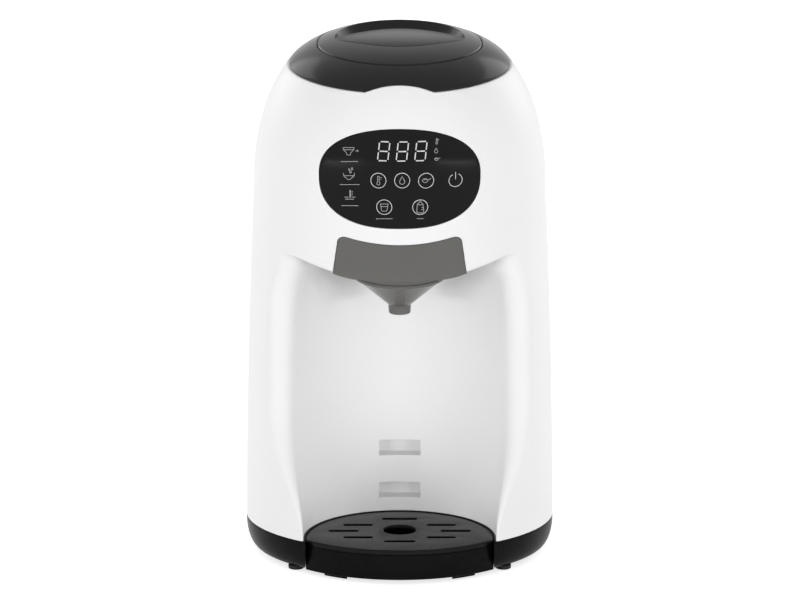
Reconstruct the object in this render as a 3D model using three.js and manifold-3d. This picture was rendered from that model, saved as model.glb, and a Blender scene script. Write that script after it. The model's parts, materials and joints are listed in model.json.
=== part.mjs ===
// Baby formula maker: powder hopper under the lid, water tank behind, funnel drawer over a bottle bay.
// Millimetres. x runs to the right, y to the rear, z up from the floor; the axis of the hopper is x = y = 0.
import * as THREE from 'three';
import { mergeVertices } from 'three/addons/utils/BufferGeometryUtils.js';
import Module from 'manifold-3d';

const wasm = await Module();
wasm.setup();

// Driving dimensions
const bodyHalfWidth = 100;
const bodyFrontDepth = 88;
const bodyRearDepth = 78;
const shellBottom = 23.2;
const shoulderHeight = 240;
const domeReach = 125;
const shellTop = 327.5;
const topRadius = 73.5;
const headBottom = 204;
const bayRadius = 62.7;
const bayCentreY = -60.1;
const dripAxisY = -40.4;
const tankHalfWidth = 82;
const tankRearY = 133.5;
const tankTop = 236;
const footHeight = 3;
const shellWall = 2.5;
const gap = 0.3;
const overrun = 6;

// Shape of the body
const sideTaper = 4.7;
const frontTaper = 2;
const seamY = 8;
const squareBelow = 200;
const roundAbove = 275;
const squareness = 4.5;
const risePower = { side: 2.55, front: 3.66 };
const taperPower = 1.95;
const rearEase = 2.2;
const headArch = 10;
const headArchReach = 66.8;
const lipRadius = 3;
const ceilingRadius = 8;
const bayEdge = { bottomRadius: 1, middleRadius: 9, topRadius: 11 };
const tinyRadius = 0.2;

// Arithmetic used all over
const mix = (from, to, share) => from + (to - from) * share;
const clamp01 = (value) => Math.min(1, Math.max(0, value));
const steps = (count) => Array.from({ length: count + 1 }, (unused, index) => index / count);
const radians = (degrees) => (degrees * Math.PI) / 180;

// Solids from three.js geometry
function toSolid(geometry) {
  const bare = geometry.index ? geometry.toNonIndexed() : geometry.clone();
  bare.deleteAttribute('normal');
  bare.deleteAttribute('uv');
  const merged = mergeVertices(bare, 1e-4);
  const corners = merged.attributes.position;
  const kept = [];
  let volume = 0;
  const [a, b, c] = [new THREE.Vector3(), new THREE.Vector3(), new THREE.Vector3()];
  for (let start = 0; start < merged.index.count; start += 3) {
    const [i, j, k] = [0, 1, 2].map((corner) => merged.index.getX(start + corner));
    if (i === j || j === k || k === i) continue;
    kept.push(i, j, k);
    volume += a.fromBufferAttribute(corners, i).dot(
      b.fromBufferAttribute(corners, j).cross(c.fromBufferAttribute(corners, k)));
  }
  if (volume < 0) kept.reverse();
  return new wasm.Manifold(new wasm.Mesh({
    numProp: 3,
    vertProperties: Float32Array.from(corners.array),
    triVerts: Uint32Array.from(kept),
  }));
}

function toGeometry(solid) {
  const mesh = solid.getMesh();
  const geometry = new THREE.BufferGeometry();
  geometry.setAttribute('position', new THREE.BufferAttribute(Float32Array.from(mesh.vertProperties), 3));
  geometry.setIndex(new THREE.BufferAttribute(Uint32Array.from(mesh.triVerts), 1));
  return geometry;
}

const join = (first, ...others) => others.reduce((whole, other) => whole.add(other), first);
const cut = (first, ...others) => others.reduce((whole, other) => whole.subtract(other), first);
const mirrored = (build) => [-1, 1].map(build);

function box(x0, x1, y0, y1, z0, z1) {
  const geometry = new THREE.BoxGeometry(x1 - x0, y1 - y0, z1 - z0);
  geometry.translate((x0 + x1) / 2, (y0 + y1) / 2, (z0 + z1) / 2);
  return toSolid(geometry);
}

function rod(radius, z0, z1, x = 0, y = 0, sides = 24) {
  const geometry = new THREE.CylinderGeometry(radius, radius, z1 - z0, sides);
  geometry.rotateX(Math.PI / 2);
  geometry.translate(x, y, (z0 + z1) / 2);
  return toSolid(geometry);
}

function rodAlongX(radius, x0, x1, y, z, sides = 16) {
  const geometry = new THREE.CylinderGeometry(radius, radius, x1 - x0, sides);
  geometry.rotateZ(Math.PI / 2);
  geometry.translate((x0 + x1) / 2, y, z);
  return toSolid(geometry);
}

function rodAlongY(radius, y0, y1, x, z, sides = 16) {
  const geometry = new THREE.CylinderGeometry(radius, radius, y1 - y0, sides);
  geometry.translate(x, (y0 + y1) / 2, z);
  return toSolid(geometry);
}

// A turned piece; the profile lists [radius, height] and starts and ends on the axis or closes on itself
function turned(profile, x = 0, y = 0, sides = 48) {
  const points = profile.map(([radius, height]) => new THREE.Vector2(radius, height));
  const geometry = new THREE.LatheGeometry(points, sides);
  geometry.rotateX(Math.PI / 2);
  geometry.translate(x, y, 0);
  return toSolid(geometry);
}

const turnedRing = (inner, outer, z0, z1, x = 0, y = 0, sides = 48) =>
  turned([[inner, z0], [outer, z0], [outer, z1], [inner, z1], [inner, z0]], x, y, sides);

// A flat outline, a list of [x, y], pushed up from one height to another
function prism(outline, z0, z1) {
  const shape = new THREE.Shape(outline.map(([x, y]) => new THREE.Vector2(x, y)));
  const geometry = new THREE.ExtrudeGeometry(shape, { depth: z1 - z0, bevelEnabled: false });
  geometry.translate(0, 0, z0);
  return toSolid(geometry);
}

// An outline of [x, z] pushed rearwards
function prismAlongY(outline, y0, y1) {
  const shape = new THREE.Shape(outline.map(([x, z]) => new THREE.Vector2(x, z)));
  const geometry = new THREE.ExtrudeGeometry(shape, { depth: y1 - y0, bevelEnabled: false });
  geometry.rotateX(Math.PI / 2);
  geometry.translate(0, y1, 0);
  return toSolid(geometry);
}

// A hose or wire of round section along a smooth path
function hose(radius, path, stepsPerSpan = 5, sides = 10) {
  const curve = new THREE.CatmullRomCurve3(path.map((point) => new THREE.Vector3(...point)));
  const section = new THREE.Shape();
  section.absarc(0, 0, radius, 0, 2 * Math.PI);
  const geometry = new THREE.ExtrudeGeometry(section, {
    extrudePath: curve,
    steps: stepsPerSpan * (path.length - 1),
    curveSegments: sides / 2,
    bevelEnabled: false,
  });
  return toSolid(geometry);
}

// A wall between two grids of points that lie a wall apart; closed along its four edges
function sheet(outer, inner) {
  const columns = outer.length;
  const rows = outer[0].length;
  const positions = [];
  for (const column of [...outer, ...inner]) {
    for (const point of column) positions.push(...point);
  }
  const outerAt = (column, row) => column * rows + row;
  const innerAt = (column, row) => (columns + column) * rows + row;
  const index = [];
  const quad = (a, b, c, d) => index.push(a, b, c, a, c, d);
  for (let column = 0; column + 1 < columns; column += 1) {
    for (let row = 0; row + 1 < rows; row += 1) {
      quad(outerAt(column, row), outerAt(column + 1, row), outerAt(column + 1, row + 1),
        outerAt(column, row + 1));
      quad(innerAt(column, row), innerAt(column, row + 1), innerAt(column + 1, row + 1),
        innerAt(column + 1, row));
    }
    quad(outerAt(column, 0), innerAt(column, 0), innerAt(column + 1, 0), outerAt(column + 1, 0));
    quad(outerAt(column + 1, rows - 1), innerAt(column + 1, rows - 1), innerAt(column, rows - 1),
      outerAt(column, rows - 1));
  }
  for (let row = 0; row + 1 < rows; row += 1) {
    const last = columns - 1;
    quad(outerAt(0, row + 1), innerAt(0, row + 1), innerAt(0, row), outerAt(0, row));
    quad(outerAt(last, row), innerAt(last, row), innerAt(last, row + 1), outerAt(last, row + 1));
  }
  const geometry = new THREE.BufferGeometry();
  geometry.setAttribute('position', new THREE.Float32BufferAttribute(positions, 3));
  geometry.setIndex(index);
  return toSolid(geometry);
}

// A solid through closed rings of equal count, each flat at its own height
function loft(rings) {
  const count = rings[0].length;
  const positions = rings.flat(2);
  const index = [];
  for (let ring = 0; ring + 1 < rings.length; ring += 1) {
    for (let corner = 0; corner < count; corner += 1) {
      const next = (corner + 1) % count;
      const [a, b] = [ring * count + corner, ring * count + next];
      index.push(a, b, b + count, a, b + count, a + count);
    }
  }
  const cap = THREE.ShapeUtils.triangulateShape(rings[0].map(([x, y]) => new THREE.Vector2(x, y)), []);
  const top = (rings.length - 1) * count;
  for (const [a, b, c] of cap) index.push(a, c, b, top + a, top + b, top + c);
  const geometry = new THREE.BufferGeometry();
  geometry.setAttribute('position', new THREE.Float32BufferAttribute(positions, 3));
  geometry.setIndex(index);
  return toSolid(geometry);
}

// The plan of the body at a height: an ellipse in front, a squarer curve behind that turns round at the top
function bodyPlan(z, inset = 0) {
  const lift = clamp01((z - shellBottom) / (shoulderHeight - shellBottom));
  const rise = clamp01((z - shoulderHeight) / domeReach);
  const topRise = (shellTop - shoulderHeight) / domeReach;
  const topShare = clamp01(rise / topRise);
  // 1 at the shoulder and 0 at the top of the shell, where the lid stands on a circle
  const swell = (power) => {
    const low = Math.sqrt(1 - topRise ** power);
    return (Math.sqrt(1 - rise ** power) - low) / (1 - low);
  };
  const front = mix(topRadius, bodyFrontDepth - frontTaper * lift, swell(risePower.front));
  const halfWidth = mix(topRadius, bodyHalfWidth - sideTaper * lift ** taperPower, swell(risePower.side));
  return {
    halfWidth: halfWidth - inset,
    front: front - inset,
    rear: front * mix(bodyRearDepth / bodyFrontDepth, 1, topShare ** rearEase) - inset,
    power: mix(squareness, 2, clamp01((z - squareBelow) / (roundAbove - squareBelow))),
  };
}

const frontY = (x, z, inset = 0) => {
  const plan = bodyPlan(z, inset);
  return -plan.front * Math.sqrt(Math.max(0, 1 - (x / plan.halfWidth) ** 2));
};

const rearHalfWidth = (y, z, inset = 0) => {
  const plan = bodyPlan(z, inset);
  return plan.halfWidth * (1 - (y / plan.rear) ** plan.power) ** (1 / plan.power);
};

function bodyRing(z, inset, cornerCount = 32) {
  const plan = bodyPlan(z, inset);
  return steps(cornerCount).slice(0, -1).map((share) => {
    const angle = share * 2 * Math.PI;
    const [c, s] = [Math.cos(angle), Math.sin(angle)];
    const power = s > 0 ? 2 / plan.power : 1;
    const depth = s > 0 ? plan.rear : plan.front;
    const x = plan.halfWidth * Math.sign(c) * Math.abs(c) ** power;
    return [x, depth * Math.sign(s) * Math.abs(s) ** power, z];
  });
}

const bodyCore = (heights, inset) => loft(heights.map((z) => bodyRing(z, inset)));

// How round the long edges of the bay are at a height
function bayEdgeRadius(z) {
  const swell = Math.sin(Math.PI * clamp01((z - shellBottom) / (headBottom - shellBottom)));
  if (z < (shellBottom + headBottom) / 2) {
    return mix(bayEdge.bottomRadius, bayEdge.middleRadius, swell ** 1.8);
  }
  return mix(bayEdge.topRadius, bayEdge.middleRadius, swell ** 0.6);
}

// How much wider the bay is at a height than at its foot
const bayFlare = { share: 0.15, riseEnd: 0.45, fallStart: 0.55, fallPower: 5 };
function bayStretch(z) {
  const level = clamp01((z - shellBottom) / (headBottom - shellBottom));
  const rise = clamp01(level / bayFlare.riseEnd);
  const fall = clamp01((level - bayFlare.fallStart) / (1 - bayFlare.fallStart));
  return 1 + bayFlare.share * rise ** 2 * (3 - 2 * rise) * (1 - fall ** bayFlare.fallPower);
}

// Half of the plan at a height, from the side seam round the edge of the bay to the middle of its back wall;
// front is where the body would be without the bay
const sideColumns = 4;
const edgeColumns = 2;
const bayColumns = 5;
function bayOutline(z, inset) {
  const plan = bodyPlan(z, inset);
  const stretch = bayStretch(z);
  const bodyHalf = plan.halfWidth / stretch;
  const radius = bayRadius + inset;
  const edge = Math.max(bayEdgeRadius(z) - inset, tinyRadius);
  const onBody = (angle) => [bodyHalf * Math.sin(angle), -plan.front * Math.cos(angle)];
  const edgeCentre = (angle) => {
    const [x, y] = onBody(angle);
    const normal = new THREE.Vector2(x / bodyHalf ** 2, y / plan.front ** 2).normalize();
    return [x - edge * normal.x, y - edge * normal.y];
  };
  let [low, high] = [0, Math.PI / 2];
  for (let turn = 0; turn < 40; turn += 1) {
    const angle = (low + high) / 2;
    const [x, y] = edgeCentre(angle);
    const reach = y > bayCentreY ? Math.hypot(x, y - bayCentreY) : x;
    if (reach < radius + edge) low = angle;
    else high = angle;
  }
  const [centreX, centreY] = edgeCentre(low);
  const frontAt = (x) => -plan.front * Math.sqrt(Math.max(0, 1 - (x / bodyHalf) ** 2));
  const points = [];
  for (const share of steps(sideColumns)) {
    const [x, y] = onBody(mix(Math.PI / 2, low, share));
    points.push({ x, y, front: y });
  }
  const [touchX, touchY] = onBody(low);
  const startAngle = Math.atan2(touchY - centreY, touchX - centreX);
  const towardsBay = centreY > bayCentreY
    ? Math.atan2(bayCentreY - centreY, -centreX) : -Math.PI;
  for (const share of steps(edgeColumns).slice(1)) {
    const angle = mix(startAngle, towardsBay, share);
    const [x, y] = [centreX + edge * Math.cos(angle), centreY + edge * Math.sin(angle)];
    points.push({ x, y, front: frontAt(x) });
  }
  const lastPoint = points[points.length - 1];
  const bayStart = Math.atan2(lastPoint.y - bayCentreY, lastPoint.x);
  for (const share of steps(bayColumns).slice(1)) {
    const angle = mix(bayStart, Math.PI / 2, share);
    const x = angle < 0 ? radius : radius * Math.cos(angle);
    const y = bayCentreY + (angle < 0 ? radius * Math.tan(angle) : radius * Math.sin(angle));
    points.push({ x: share < 1 ? x : 0, y, front: frontAt(x) });
  }
  return [{ x: rearHalfWidth(seamY, z, inset), y: seamY, front: seamY },
    ...points.map((point) => ({ ...point, x: point.x * stretch }))];
}

// Surface of the front shell: up the wall of the bay, forwards along its ceiling, round the lip, up the head
const wallRows = 6;
const roundRows = 2;
const headRowShares = [0.3, 0.55, 0.72, 0.85, 0.93, 1];
function frontGrid(inset) {
  const ceilingRound = ceilingRadius + inset;
  const lipRound = Math.max(lipRadius - inset, tinyRadius);
  const guide = bayOutline(headBottom, inset);
  const half = guide.map((guidePoint, column) => {
    const archShare = Math.min(guidePoint.x, headArchReach) / headArchReach;
    const lip = headBottom + inset + headArch * archShare ** 2;
    const at = (z) => bayOutline(z, inset)[column];
    const grid = [];
    for (const share of steps(wallRows)) {
      const z = mix(shellBottom + gap, lip - ceilingRound, share);
      grid.push([at(z).x, at(z).y, z]);
    }
    for (const share of steps(roundRows).slice(1)) {
      const angle = share * Math.PI / 2;
      const z = lip - ceilingRound + ceilingRound * Math.sin(angle);
      const turn = Math.min(ceilingRound, 0.45 * (at(z).y - at(z).front));
      grid.push([at(z).x, at(z).y - turn * (1 - Math.cos(angle)), z]);
    }
    const edge = at(lip);
    const lipTurn = Math.min(lipRound, 0.45 * (edge.y - edge.front));
    for (const share of steps(roundRows)) {
      const angle = share * Math.PI / 2;
      grid.push([edge.x, edge.front + lipTurn * (1 - Math.sin(angle)),
        lip + lipRound * (1 - Math.cos(angle))]);
    }
    const widthShare = edge.x / bodyPlan(lip, inset).halfWidth;
    for (const share of headRowShares) {
      const z = mix(lip + lipRound, shellTop, share);
      const x = widthShare * bodyPlan(z, inset).halfWidth;
      if (column === 0) grid.push([rearHalfWidth(seamY, z, inset), seamY, z]);
      else grid.push([x, frontY(x, z, inset), z]);
    }
    return grid;
  });
  const left = half.map((column) => column.map(([x, y, z]) => [-x, y, z]));
  return [...left, ...half.slice(0, -1).reverse()];
}

const rearColumns = 16;
const rearRowShares = [0, 0.35, 0.62, 0.77, 0.87, 0.93, 0.97, 1];
function rearGrid(inset) {
  return steps(rearColumns).map((columnShare) => rearRowShares.map((rowShare) => {
    const z = mix(shellBottom + gap, shellTop, rowShare);
    const plan = bodyPlan(z, inset);
    const seam = seamY + gap;
    if (columnShare === 0 || columnShare === 1) {
      return [(columnShare ? -1 : 1) * rearHalfWidth(seam, z, inset), seam, z];
    }
    const start = Math.asin((seam / plan.rear) ** (plan.power / 2));
    const angle = mix(start, Math.PI - start, columnShare);
    const [c, s] = [Math.cos(angle), Math.sin(angle)];
    return [plan.halfWidth * Math.sign(c) * Math.abs(c) ** (2 / plan.power),
      plan.rear * s ** (2 / plan.power), z];
  }));
}

// Materials by finish
const finish = (color, roughness, metalness = 0, opacity = 1) => () =>
  new THREE.MeshStandardMaterial({ color, roughness, metalness, opacity, transparent: opacity < 1 });
const whitePlastic = finish(0xf0f0f0, 0.4);
const blackPlastic = finish(0x1c1c1c, 0.45);
const lidPlastic = finish(0x2b2b2b, 0.35);
const smokyPlastic = finish(0x55534f, 0.2, 0, 0.8);
const clearPlastic = finish(0xb9c4c8, 0.1, 0, 0.5);
const greyPlastic = finish(0xbcbcbc, 0.5);
const rubber = finish(0x3a3a3a, 0.8);
const steel = finish(0xb8bcc0, 0.3, 1);
const boardGreen = finish(0x1f5a3a, 0.6);
const glossBlack = finish(0x222222, 0.1);
const copper = finish(0xb87333, 0.4, 1);
const silicone = finish(0xdddcd4, 0.6);

const machine = new THREE.Group();
function addPart(name, solid, material) {
  const mesh = new THREE.Mesh(toGeometry(solid), material());
  mesh.name = name;
  machine.add(mesh);
}

// Touch panel in the front of the head
const panel = {
  halfWidth: 52.2, middleZ: 274, top: 306.9, bottom: 240.7, upperPower: 2.25, lowerPower: 2.55, depth: 2,
};
function panelPoint(angle, grow = 0) {
  const [c, s] = [Math.cos(angle), Math.sin(angle)];
  const power = 2 / (s > 0 ? panel.upperPower : panel.lowerPower);
  const reach = s > 0 ? panel.top - panel.middleZ : panel.middleZ - panel.bottom;
  return [
    (panel.halfWidth + grow) * Math.sign(c) * Math.abs(c) ** power,
    panel.middleZ + (reach + grow) * Math.sign(s) * Math.abs(s) ** power,
  ];
}
const panelCorners = 26;
const panelOutline = (grow) => steps(panelCorners).slice(0, -1)
  .map((share) => panelPoint(share * 2 * Math.PI, grow));

// Funnel plate in the lip of the head
const plate = {
  bottomHalfWidth: 43.5, topHalfWidth: 40.4, middleBottom: 203.5, endBottom: 207.7,
  middleTop: 229.3, endTop: 234.2, cornerRadius: 5.2, depth: 3,
};
const plateBottom = (x) => mix(plate.middleBottom, plate.endBottom, (x / plate.bottomHalfWidth) ** 2);
function plateTop(x) {
  const arch = mix(plate.middleTop, plate.endTop, (x / plate.topHalfWidth) ** 2);
  const beyond = Math.max(0, Math.abs(x) - (plate.topHalfWidth - plate.cornerRadius));
  return arch - plate.cornerRadius + Math.sqrt(Math.max(0, plate.cornerRadius ** 2 - beyond ** 2));
}
const plateShares = [-1, -0.97, -0.93, -0.8, -0.6, -0.4, -0.2, 0, 0.2, 0.4, 0.6, 0.8, 0.93, 0.97, 1];
function plateOutline(grow) {
  const bottom = plateShares.map((share) => {
    const x = share * plate.bottomHalfWidth;
    return [share * (plate.bottomHalfWidth + grow), plateBottom(x) - grow];
  });
  const top = plateShares.map((share) => {
    const x = share * plate.topHalfWidth;
    return [share * (plate.topHalfWidth + grow), plateTop(x) + grow];
  });
  return [...bottom, ...top.reverse()];
}

// Pockets in the bay that take the hook of the drip tray, one tray height apart
const pocket = { halfWidth: 13.7, height: 10.5, depth: 10, wall: 1.6, pitch: 28.6 };
const hookZ = 9.2;
const bayBackY = bayCentreY + bayRadius;
const pocketHeights = [hookZ + pocket.pitch, hookZ + 2 * pocket.pitch];

// Drawer of the funnel
const drawer = {
  halfWidth: 42, rearY: 2, floorZ: 208.3, floorThickness: 2.5, sideThickness: 2.3, wingZ: 215.5,
  wingThickness: 2, wingWidth: 3.2,
};
const drawerInner = drawer.halfWidth - drawer.sideThickness;
const deck = { bottom: 219, thickness: 3, halfWidth: 66, frontInset: 8, rearY: 64 };
const deckTop = deck.bottom + deck.thickness;

// Front shell
const boss = { x: 54, y: -50, radius: 4, foot: 7.5 };
const tongue = { halfWidth: 22.5, height: 4.9, thickness: 2.6, sink: 1 };
const tongueShares = [-1, -0.75, -0.5, -0.25, 0, 0.25, 0.5, 0.75, 1];
const archOutline = (base, grow) => [
  ...tongueShares.map((share) => [
    share * (tongue.halfWidth + grow), shellTop + (tongue.height + grow) * (1 - share ** 2)]),
  [tongue.halfWidth + grow, base], [-tongue.halfWidth - grow, base],
];

// Lid
const lid = {
  edgeRadius: 72.05, edgeZ: 328.8, crown: 20.04, profilePower: 3.02, profileRoot: 1.233, seamRadius: 53.6,
  wall: 2.5, plateBottom: 332.7, plateThickness: 2.5, ribInner: 60, ribOuter: 62.5, ribBottom: 326.6,
};
const lidTop = (radius) => lid.edgeZ
  + lid.crown * Math.max(0, 1 - (radius / lid.edgeRadius) ** lid.profilePower) ** (1 / lid.profileRoot);

const tongueSolid = (grow, outerRadius) => prismAlongY(
  archOutline(shellTop - tongue.sink - grow, grow), -bodyFrontDepth, -bodyFrontDepth / 2)
  .intersect(turnedRing(lid.edgeRadius - tongue.thickness - grow, outerRadius, shellTop - tongue.sink - grow,
    shellTop + tongue.height + overrun));

function buildFrontShell() {
  const shell = sheet(frontGrid(0), frontGrid(shellWall));
  const frontWindow = [-bodyFrontDepth - overrun, -bodyFrontDepth / 2];
  const housings = pocketHeights.map((z) => box(
    -pocket.halfWidth - pocket.wall, pocket.halfWidth + pocket.wall, bayBackY + shellWall / 2,
    bayBackY + pocket.depth + pocket.wall, z - pocket.height / 2 - pocket.wall,
    z + pocket.height / 2 + pocket.wall));
  const hollows = pocketHeights.map((z) => box(
    -pocket.halfWidth, pocket.halfWidth, bayBackY - overrun, bayBackY + pocket.depth,
    z - pocket.height / 2, z + pocket.height / 2));
  const bosses = mirrored((side) => rod(boss.radius, deck.bottom - boss.foot, deck.bottom - gap,
    side * boss.x, boss.y, 16));
  const drawerWay = box(-drawer.halfWidth - gap * 2, drawer.halfWidth + gap * 2, -bodyFrontDepth - overrun,
    drawer.rearY + gap * 2, headBottom - gap, plate.endBottom + plate.cornerRadius);
  return cut(
    join(shell, ...housings, ...bosses, tongueSolid(0, lid.edgeRadius)),
    prismAlongY(panelOutline(gap), ...frontWindow),
    prismAlongY(plateOutline(gap), ...frontWindow),
    drawerWay, ...hollows);
}
addPart('front_shell', buildFrontShell(), whitePlastic);
addPart('rear_shell', sheet(rearGrid(0), rearGrid(shellWall)), whitePlastic);

// A curved slab that follows the front of the head, for the pieces that sit flush in it
function frontSlab(halfWidth, bottom, top, inset, depth, columns, rows) {
  const skin = (skinInset) => steps(columns).map((columnShare) => steps(rows).map((rowShare) => {
    const x = mix(-halfWidth, halfWidth, columnShare);
    const z = mix(bottom, top, rowShare);
    return [x, frontY(x, z, skinInset), z];
  }));
  return sheet(skin(inset), skin(inset + depth));
}

// Touch panel: a curved window flush with the head
const panelMargin = 2;
const buildPanel = () => frontSlab(panel.halfWidth + panelMargin, panel.bottom - panelMargin,
  panel.top + panelMargin,
  0, panel.depth, 8, 4).intersect(prismAlongY(panelOutline(0), -bodyFrontDepth - overrun, 0));
addPart('display_panel', buildPanel(), glossBlack);

// Board behind the panel, with the digit window and the touch springs on it
const board = { halfWidth: 34, bottom: 243, top: 303, y: -66, thickness: 1.6 };
const digits = { halfWidth: 17.5, middleZ: 292, halfHeight: 8.6, frontY: -78 };
const keyRadius = 5.2;
const touchSpring = { radius: 3.2, frontGap: 0.5 };
const touchKeys = [[-13.8, 272.8], [1.6, 273.05], [17.1, 272.6], [-10, 255.1], [13.3, 255]];
const touchSprings = touchKeys.map(([x, z]) => rodAlongY(touchSpring.radius,
  frontY(Math.abs(x) + touchSpring.radius, z, panel.depth) + touchSpring.frontGap,
    board.y + board.thickness / 2, x, z, 8));
addPart('control_board', join(
  box(-board.halfWidth, board.halfWidth, board.y, board.y + board.thickness, board.bottom, board.top),
  box(-keyRadius * 2, keyRadius * 2, board.y + board.thickness / 2, board.y + board.thickness * 2,
    panel.middleZ - keyRadius, panel.middleZ + keyRadius),
  ...touchSprings,
), boardGreen);
addPart('display_module', box(-digits.halfWidth, digits.halfWidth, digits.frontY, board.y - gap,
  digits.middleZ - digits.halfHeight, digits.middleZ + digits.halfHeight), blackPlastic);

// Black base with the recess of the tray
const base = {
  bottom: footHeight, wall: 3, floor: 2.5, tuck: 9, tuckPower: 2.2, platformHalfWidth: 84, platformRearY: 136,
  recessRadius: 61.6, recessWall: 2.6, cornerPower: 2.8, bossRadius: 5,
};
const dockFrontY = 79;
const baseRingShares = [0, 0.12, 0.4, 1];
const baseHollowShares = [0, 0.3, 1];
const tuckAt = (share) => base.tuck * (1 - (1 - (1 - share) ** base.tuckPower) ** (1 / base.tuckPower));
function rearRing(halfWidth, startY, rearY, power, z, count = 16) {
  return steps(count).map((share) => {
    const angle = share * Math.PI;
    const [c, s] = [Math.cos(angle), Math.sin(angle)];
    return [halfWidth * Math.sign(c) * Math.abs(c) ** (2 / power),
      startY + (rearY - startY) * s ** (2 / power), z];
  });
}
const roundedBlock = (inset, bottom, top, ringShares) => {
  const heights = ringShares.map((share) => [mix(bottom, shellBottom, share), inset + tuckAt(share)]);
  if (top > shellBottom) heights.push([top, inset]);
  const bodyPart = loft(heights.map(([z, edge]) => bodyRing(shellBottom, edge).map(([x, y]) => [x, y, z])));
  const platform = loft(heights.map(([z, edge]) => {
    const halfWidth = base.platformHalfWidth - edge;
    return [[-halfWidth, bodyRearDepth / 2, z], [halfWidth, bodyRearDepth / 2, z],
      ...rearRing(halfWidth, dockFrontY, base.platformRearY - edge, base.cornerPower, z)];
  }));
  return join(bodyPart, platform);
};
function recessSolid(radius, z0, z1) {
  return join(rod(radius, z0, z1, 0, bayCentreY, 40),
    box(-radius, radius, bayCentreY - bodyFrontDepth, bayCentreY, z0, z1));
}
const hook = { halfWidth: 13.2, height: 6, endClearance: 1 };
const baseSlot = { bottom: 4.2, top: 14.7, rearY: bayBackY + pocket.depth - base.recessWall - pocket.wall };
const screwSpots = [[-82, -12], [82, -12], [-70, 52], [70, 52]];
const screw = { headRadius: 2.8, headHeight: 2.4, shankRadius: 1.5, length: 14, sink: 1, clearance: 0.4 };
const inlet = {
  halfWidth: 10, bottom: 10.5, top: 21.5, rearY: 135.2, depth: 13, rim: 2.2, socketDepth: 9, pinRadius: 1.2,
    pinX: 4,
  pinLength: 6,
};
function buildBase() {
  const hollow = cut(roundedBlock(base.wall, base.bottom + base.floor, shellBottom + overrun,
    baseHollowShares),
    recessSolid(base.recessRadius + base.recessWall, 0, shellBottom + overrun * 2));
  const slotHousing = box(-pocket.halfWidth - pocket.wall, pocket.halfWidth + pocket.wall,
    bayBackY - base.recessWall,
    baseSlot.rearY + pocket.wall, base.bottom + base.floor / 2, baseSlot.top + pocket.wall);
  const slotHollow = box(-pocket.halfWidth, pocket.halfWidth, bayBackY - overrun,
    baseSlot.rearY, baseSlot.bottom, baseSlot.top);
  const bosses = screwSpots.map(([x, y]) => rod(base.bossRadius, base.bottom + base.floor / 2, shellBottom, x,
    y, 10));
  const screwHoles = screwSpots.map(([x, y]) => join(
    rod(screw.headRadius + screw.clearance, 0, base.bottom + screw.sink + screw.headHeight + gap, x, y, 10),
    rod(screw.shankRadius + gap, 0, shellBottom + overrun, x, y, 8)));
  const inletWay = box(-inlet.halfWidth - gap, inlet.halfWidth + gap, inlet.rearY - inlet.depth,
    inlet.rearY + overrun,
    inlet.bottom - gap, inlet.top + gap);
  return cut(join(cut(roundedBlock(0, base.bottom, shellBottom, baseRingShares), hollow), slotHousing,
    ...bosses),
    recessSolid(base.recessRadius, 0, shellBottom + overrun), slotHollow, inletWay, ...screwHoles);
}
addPart('base_pan', buildBase(), blackPlastic);
screwSpots.forEach(([x, y], index) => {
  const headBottomZ = base.bottom + screw.sink;
  addPart(`base_screw_${index + 1}`, turned([
    [0, headBottomZ], [screw.headRadius, headBottomZ], [screw.headRadius, headBottomZ + screw.headHeight],
    [screw.shankRadius, headBottomZ + screw.headHeight], [screw.shankRadius, headBottomZ + screw.length],
    [0, headBottomZ + screw.length]], x, y, 8), steel);
});

const foot = { radius: 5.1, chamfer: 0.5 };
const feet = {
  foot_front_left: [-67.5, -50], foot_front_right: [67.5, -50], foot_rear_left: [-58, 108],
    foot_rear_right: [58, 108],
};
for (const [name, [x, y]] of Object.entries(feet)) {
  addPart(name, turned([[0, 0], [foot.radius - foot.chamfer, 0], [foot.radius, foot.chamfer],
    [foot.radius, footHeight - gap], [0, footHeight - gap]], x, y, 16), rubber);
}

// Drip tray and its grate
const tray = {
  radius: 61.2, frontRadius: 90, frontCentreY: 2, wall: 2, floor: 2, bottom: 3, top: 19.7, padX: 41.7,
    padY: -64,
  padRadius: 7.5,
};
const grate = { top: 23.2, plate: 2.6, lipDepth: 2, lipWall: 1.6, holeRadius: 10.4, slotWidth: 4.4 };
function trayOutline(inset) {
  const radius = tray.radius - inset;
  const front = tray.frontRadius - inset;
  const cornerAngle = Math.asin(radius / front);
  const rear = steps(20).map((share) => [
    radius * Math.cos(share * Math.PI), bayCentreY + radius * Math.sin(share * Math.PI)]);
  const frontArc = steps(10).map((share) => {
    const angle = mix(-cornerAngle, cornerAngle, share);
    return [front * Math.sin(angle), tray.frontCentreY - front * Math.cos(angle)];
  });
  return [...rear, ...frontArc];
}
function buildTray() {
  const pads = mirrored((side) => rod(tray.padRadius, 0, tray.bottom + tray.floor / 2, side * tray.padX,
    tray.padY, 12));
  const tongueBar = box(-hook.halfWidth, hook.halfWidth, bayBackY - base.recessWall - tray.wall,
    baseSlot.rearY - hook.endClearance,
    hookZ - hook.height / 2, hookZ + hook.height / 2);
  return join(cut(prism(trayOutline(0), tray.bottom, tray.top),
    prism(trayOutline(tray.wall), tray.bottom + tray.floor, tray.top + overrun)), tongueBar, ...pads);
}
addPart('drip_tray', buildTray(), blackPlastic);

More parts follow.
